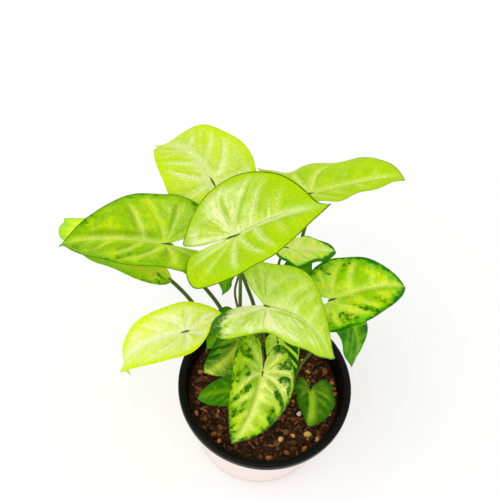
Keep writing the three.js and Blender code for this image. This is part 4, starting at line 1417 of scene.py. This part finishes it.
class StageSettings(bpy.types.PropertyGroup):
    """The floor, the light and the camera."""

    sky: number_setting("Sky", "Strength of the even light all round", 0.97)
    key: number_setting("Key light", "Power of the large soft lamp", 6.0)
    floor: FloatVectorProperty(
        name="Floor", description="Colour of the floor", default=rgb(249, 249, 249), size=3, subtype="COLOR",
        min=0, max=1,
    )
    lens: number_setting("Lens", "Focal length of the camera, in millimetres", 72.0, 10)


# ---- Operators -----------------------------------------------------------------------------------


class ARROWHEAD_OT_pot(bpy.types.Operator):
    """Builds the pot with its rolled lip and drain holes"""

    bl_idname = "arrowhead.pot"
    bl_label = "Build the pot"

    def execute(self, context):
        settings = context.scene.arrowhead_pot
        pot = lathe("pot_wall", pot_profile(settings.lip_steps), settings.sides)
        cutters = bmesh.new()
        for x, y in around(DRAIN_HOLES):
            bmesh.ops.create_cone(
                cutters, cap_ends=True, segments=32, radius1=DRAIN_RADIUS, radius2=DRAIN_RADIUS,
                depth=6 * FLOOR, matrix=Matrix.Translation((DRAIN_CIRCLE * x, DRAIN_CIRCLE * y, 0)),
            )
        drill = new_piece("drill", [])
        cutters.to_mesh(drill.data)
        cutters.free()
        holes = pot.modifiers.new("Drain holes", "BOOLEAN")
        holes.object = drill
        holes.solver = "EXACT"
        make_plain(pot)
        bpy.data.objects.remove(drill)
        set_materials(pot, pale_plastic(), black_plastic())
        black_from = POT_HEIGHT - LIP_HEIGHT - 0.0001
        for face in pot.data.polygons:
            x, y, z = face.center
            inside = math.hypot(x, y) < inner_radius(z) + WALL / 2 and z > FLOOR / 2
            face.material_index = int(inside or z > black_from)
        smooth_but_sharp(pot, degrees=40)
        hand_over(pot, "pot", "pot")
        return {"FINISHED"}


class ARROWHEAD_OT_soil(bpy.types.Operator):
    """Builds the bed of soil and scatters crumbs, peat lumps and bark flakes on it"""

    bl_idname = "arrowhead.soil"
    bl_label = "Build the soil"

    def execute(self, context):
        settings = context.scene.arrowhead_soil
        outer = inner_radius(SOIL_TOP) - SOIL_GAP
        bed = soil_sheet("soil_bed", outer, settings.rings, settings.sides)
        close_soil(bed)
        peat = crumb_material("peat", rgb(36, 23, 13), rgb(140, 90, 52))
        store(bed, tone=[BED_TONE] * len(bed.data.vertices))
        set_materials(bed, peat)
        smooth_but_sharp(bed, degrees=60)
        hand_over(bed, "soil", "soil")
        tree = lump_tree(scattered=True)
        bark = crumb_material("bark", rgb(54, 31, 17), rgb(164, 102, 60), 0.8)
        kinds = (
            ("soil_crumbs", peat, settings.crumb_density, 0.0004, 0.0011, (1.2, 1.0, 0.8), 1, 3.1),
            ("peat_lumps", peat, settings.chunk_density, 0.0008, 0.0021, (1.2, 1.0, 0.75), 2, 3.1),
            ("bark_flakes", bark, settings.bark_density, 0.0009, 0.0024, (1.9, 0.8, 0.3), 2, 0.5),
        )
        names = ("Material", "Density", "Smallest", "Largest", "Shape", "Faces", "Tilt")
        for salt, (name, *values) in enumerate(kinds):
            lumps = soil_sheet(name, outer - SCATTER_INSET, SCATTER_RINGS, SCATTER_SIDES)
            add_tree(lumps, tree, {"Seed": settings.seed + salt, "Uneven": 0.9, **dict(zip(names, values))})
            make_plain(lumps)
            hand_over(lumps, "soil")
        return {"FINISHED"}


class ARROWHEAD_OT_grains(bpy.types.Operator):
    """Sets the mineral grains on the soil"""

    bl_idname = "arrowhead.grains"
    bl_label = "Set the grains"

    def execute(self, context):
        settings = context.scene.arrowhead_soil
        draw = random.Random(settings.seed)
        grains = list(GRAINS)
        reach = inner_radius(SOIL_TOP) - GRAIN_INSET
        while len(grains) < len(GRAINS) + settings.hidden_grains:
            far, angle = reach * math.sqrt(draw.random()), 2 * math.pi * draw.random()
            x, y = far * math.cos(angle), far * math.sin(angle)
            radius, tone = 0.0009 + 0.0009 * draw.random(), 0.25 + 0.55 * draw.random()
            if all(math.hypot(x - other[0], y - other[1]) > GRAIN_SPACING for other in grains):
                grains.append((x, y, radius, tone))
        vertices = []
        for x, y, radius, _ in grains:
            clear = inner_radius(SOIL_TOP) - GRAIN_CLEARANCE * radius
            inwards = min(1.0, clear / math.hypot(x, y))
            x, y = x * inwards, y * inwards
            vertices.append((x, y, soil_height(x, y) + GRAIN_RISE * radius))
        piece = new_piece("mineral_grains", vertices)
        store(piece, size=[grain[2] for grain in grains], tone=[grain[3] for grain in grains])
        values = {
            "Seed": settings.seed, "Shape": (1.25, 0.9, 0.8), "Faces": 3, "Uneven": 0.8, "Tilt": 0.7,
            "Material": grain_material(),
        }
        add_tree(piece, lump_tree(scattered=False), values)
        make_plain(piece)
        piece.data.shade_smooth()
        hand_over(piece, "grain")
        return {"FINISHED"}


class ARROWHEAD_OT_stalks(bpy.types.Operator):
    """Builds the shoots, and every leaf's stalk with the midrib under its blade"""

    bl_idname = "arrowhead.stalks"
    bl_label = "Build the shoots and leafstalks"

    def execute(self, context):
        tree = sweep_tree()
        material = leafstalk_material()
        for place, shoot in SHOOTS.items():
            paths = [(*shoot_path(shoot), WHOLE_TONE)]
            piece = sweep("shoot_" + place, tree, paths, material, {"Sides": 24, "Ridges": 0.03})
            hand_over(piece, "stem", "stem_" + place)
        groove = context.scene.arrowhead_leaves.groove
        for leaf in LEAVES:
            paths = [
                (*stalk_path(leaf), WHOLE_TONE), (*midrib_path(leaf, groove), KEEL_TONE),
                (*knuckle_path(leaf), KNUCKLE_TONE),
            ]
            piece = sweep("stalk_" + leaf["name"], tree, paths, material, {"Sides": 16, "Groove": 0.25})
            hand_over(piece, "stem", "leaf_" + leaf["name"])
        return {"FINISHED"}


class ARROWHEAD_OT_leaves(bpy.types.Operator):
    """Bends every leaf blade from its flat outline and gives it its markings"""

    bl_idname = "arrowhead.leaves"
    bl_label = "Build the leaf blades"

    def execute(self, context):
        tree = bending_tree()
        markings = leaf_markings()
        for index, leaf in enumerate(LEAVES):
            self.build(context.scene.arrowhead_leaves, tree, leaf, leaf_material(markings, leaf, index))
        return {"FINISHED"}

    @staticmethod
    def build(settings, tree, leaf, material):
        """One blade: the flat sheet bent by the tree, then given its thickness. Its rim's faces stay flat."""
        spokes = max(int(SPOKES_PER_STEP * leaf["length"] / settings.step), FEWEST_SPOKES)
        blade = flat_leaf(leaf, spokes, int(RINGS_PER_SPOKE * spokes))
        set_materials(blade, material, material)
        values = {
            **blade_values(leaf), "Groove": settings.groove, "Quilt": settings.quilt, "Place": leaf["at"],
            "Turn": leaf_turn(leaf), "Material": material,
        }
        add_tree(blade, tree, values)
        solid = blade.modifiers.new("Thickness", "SOLIDIFY")
        solid.thickness = settings.thickness
        solid.offset = 0
        solid.vertex_group = "thickness"
        solid.material_offset_rim = RIM_SLOT
        make_plain(blade)
        for face in blade.data.polygons:
            face.use_smooth = face.material_index != RIM_SLOT
        set_materials(blade, material)
        hand_over(blade, GREEN_SLOTS.get(leaf["finish"], "leaf"), "leaf_" + leaf["name"])


class ARROWHEAD_OT_stage(bpy.types.Operator):
    """Lays the pale floor and sets up the light and the camera"""

    bl_idname = "arrowhead.stage"
    bl_label = "Set the stage"

    def execute(self, context):
        scene = context.scene
        settings = scene.arrowhead_stage
        corners = [(FLOOR_HALF * x, FLOOR_HALF * y, 0) for x, y in ((-1, -1), (1, -1), (1, 1), (-1, 1))]
        floor = new_piece("floor", corners, [(0, 1, 2, 3)])
        material, tree = new_material("floor_paper", Specular_IOR_Level=0.1)
        grain = noise_at(object_place(tree), 400.0, 3.0)
        colour = blend(grain * 0.1, tuple(settings.floor), tuple(0.96 * value for value in settings.floor))
        set_materials(floor, dress(material, colour, grain * 0.05 + 0.8, grain * 0.02))

        scene.world = bpy.data.worlds.new("Even light")
        scene.world.use_nodes = True
        sky = scene.world.node_tree.nodes["Background"]
        sky.inputs["Color"].default_value = (1, 1, 1, 1)
        sky.inputs["Strength"].default_value = settings.sky

        lamp = bpy.data.lights.new("Soft key", "AREA")
        lamp.energy = settings.key
        lamp.size = LAMP_SIZE
        lamp_object = add_object("Soft key", lamp)
        lamp_object.location = LAMP_PLACE
        aim = Vector(LAMP_AIM) - lamp_object.location
        lamp_object.rotation_euler = aim.to_track_quat("-Z", "Y").to_euler()

        camera = bpy.data.cameras.new("Camera")
        camera.lens = settings.lens
        camera.sensor_width = 36
        camera.clip_start = 0.05
        scene.camera = add_object("Camera", camera)
        right, up = Vector(CAMERA_RIGHT), Vector(CAMERA_UP)
        turn = Matrix((right, up, right.cross(up))).transposed()
        scene.camera.matrix_world = Matrix.Translation(CAMERA_PLACE) @ turn.to_4x4()
        scene.view_settings.view_transform = "Standard"
        scene.view_settings.look = "None"
        return {"FINISHED"}


class ARROWHEAD_PT_panel(bpy.types.Panel):
    """Lists every step of the build"""

    bl_idname = "ARROWHEAD_PT_panel"
    bl_label = "Arrowhead plant"
    bl_space_type = "VIEW_3D"
    bl_region_type = "UI"
    bl_category = "Arrowhead plant"

    def draw(self, context):
        for operator in OPERATORS:
            self.layout.operator(operator.bl_idname)
        for title in SETTINGS:
            box = self.layout.box()
            group = getattr(context.scene, title)
            for name in group.bl_rna.properties.keys():
                if name not in ("rna_type", "name"):
                    box.prop(group, name)


OPERATORS = (
    ARROWHEAD_OT_stage, ARROWHEAD_OT_pot, ARROWHEAD_OT_soil, ARROWHEAD_OT_grains, ARROWHEAD_OT_stalks,
    ARROWHEAD_OT_leaves,
)
SETTINGS = {
    "arrowhead_pot": PotSettings, "arrowhead_soil": SoilSettings, "arrowhead_leaves": LeafSettings,
    "arrowhead_stage": StageSettings,
}


def register():
    for kind in (*SETTINGS.values(), *OPERATORS, ARROWHEAD_PT_panel):
        bpy.utils.register_class(kind)
    for name, kind in SETTINGS.items():
        setattr(bpy.types.Scene, name, PointerProperty(type=kind))


def unregister():
    for name in SETTINGS:
        delattr(bpy.types.Scene, name)
    for kind in (ARROWHEAD_PT_panel, *reversed(OPERATORS), *reversed(SETTINGS.values())):
        bpy.utils.unregister_class(kind)


def main():
    """Builds everything in order."""
    register()
    for operator in OPERATORS:
        family, name = operator.bl_idname.split(".")
        getattr(getattr(bpy.ops, family), name)()


if __name__ == "__main__":
    main()
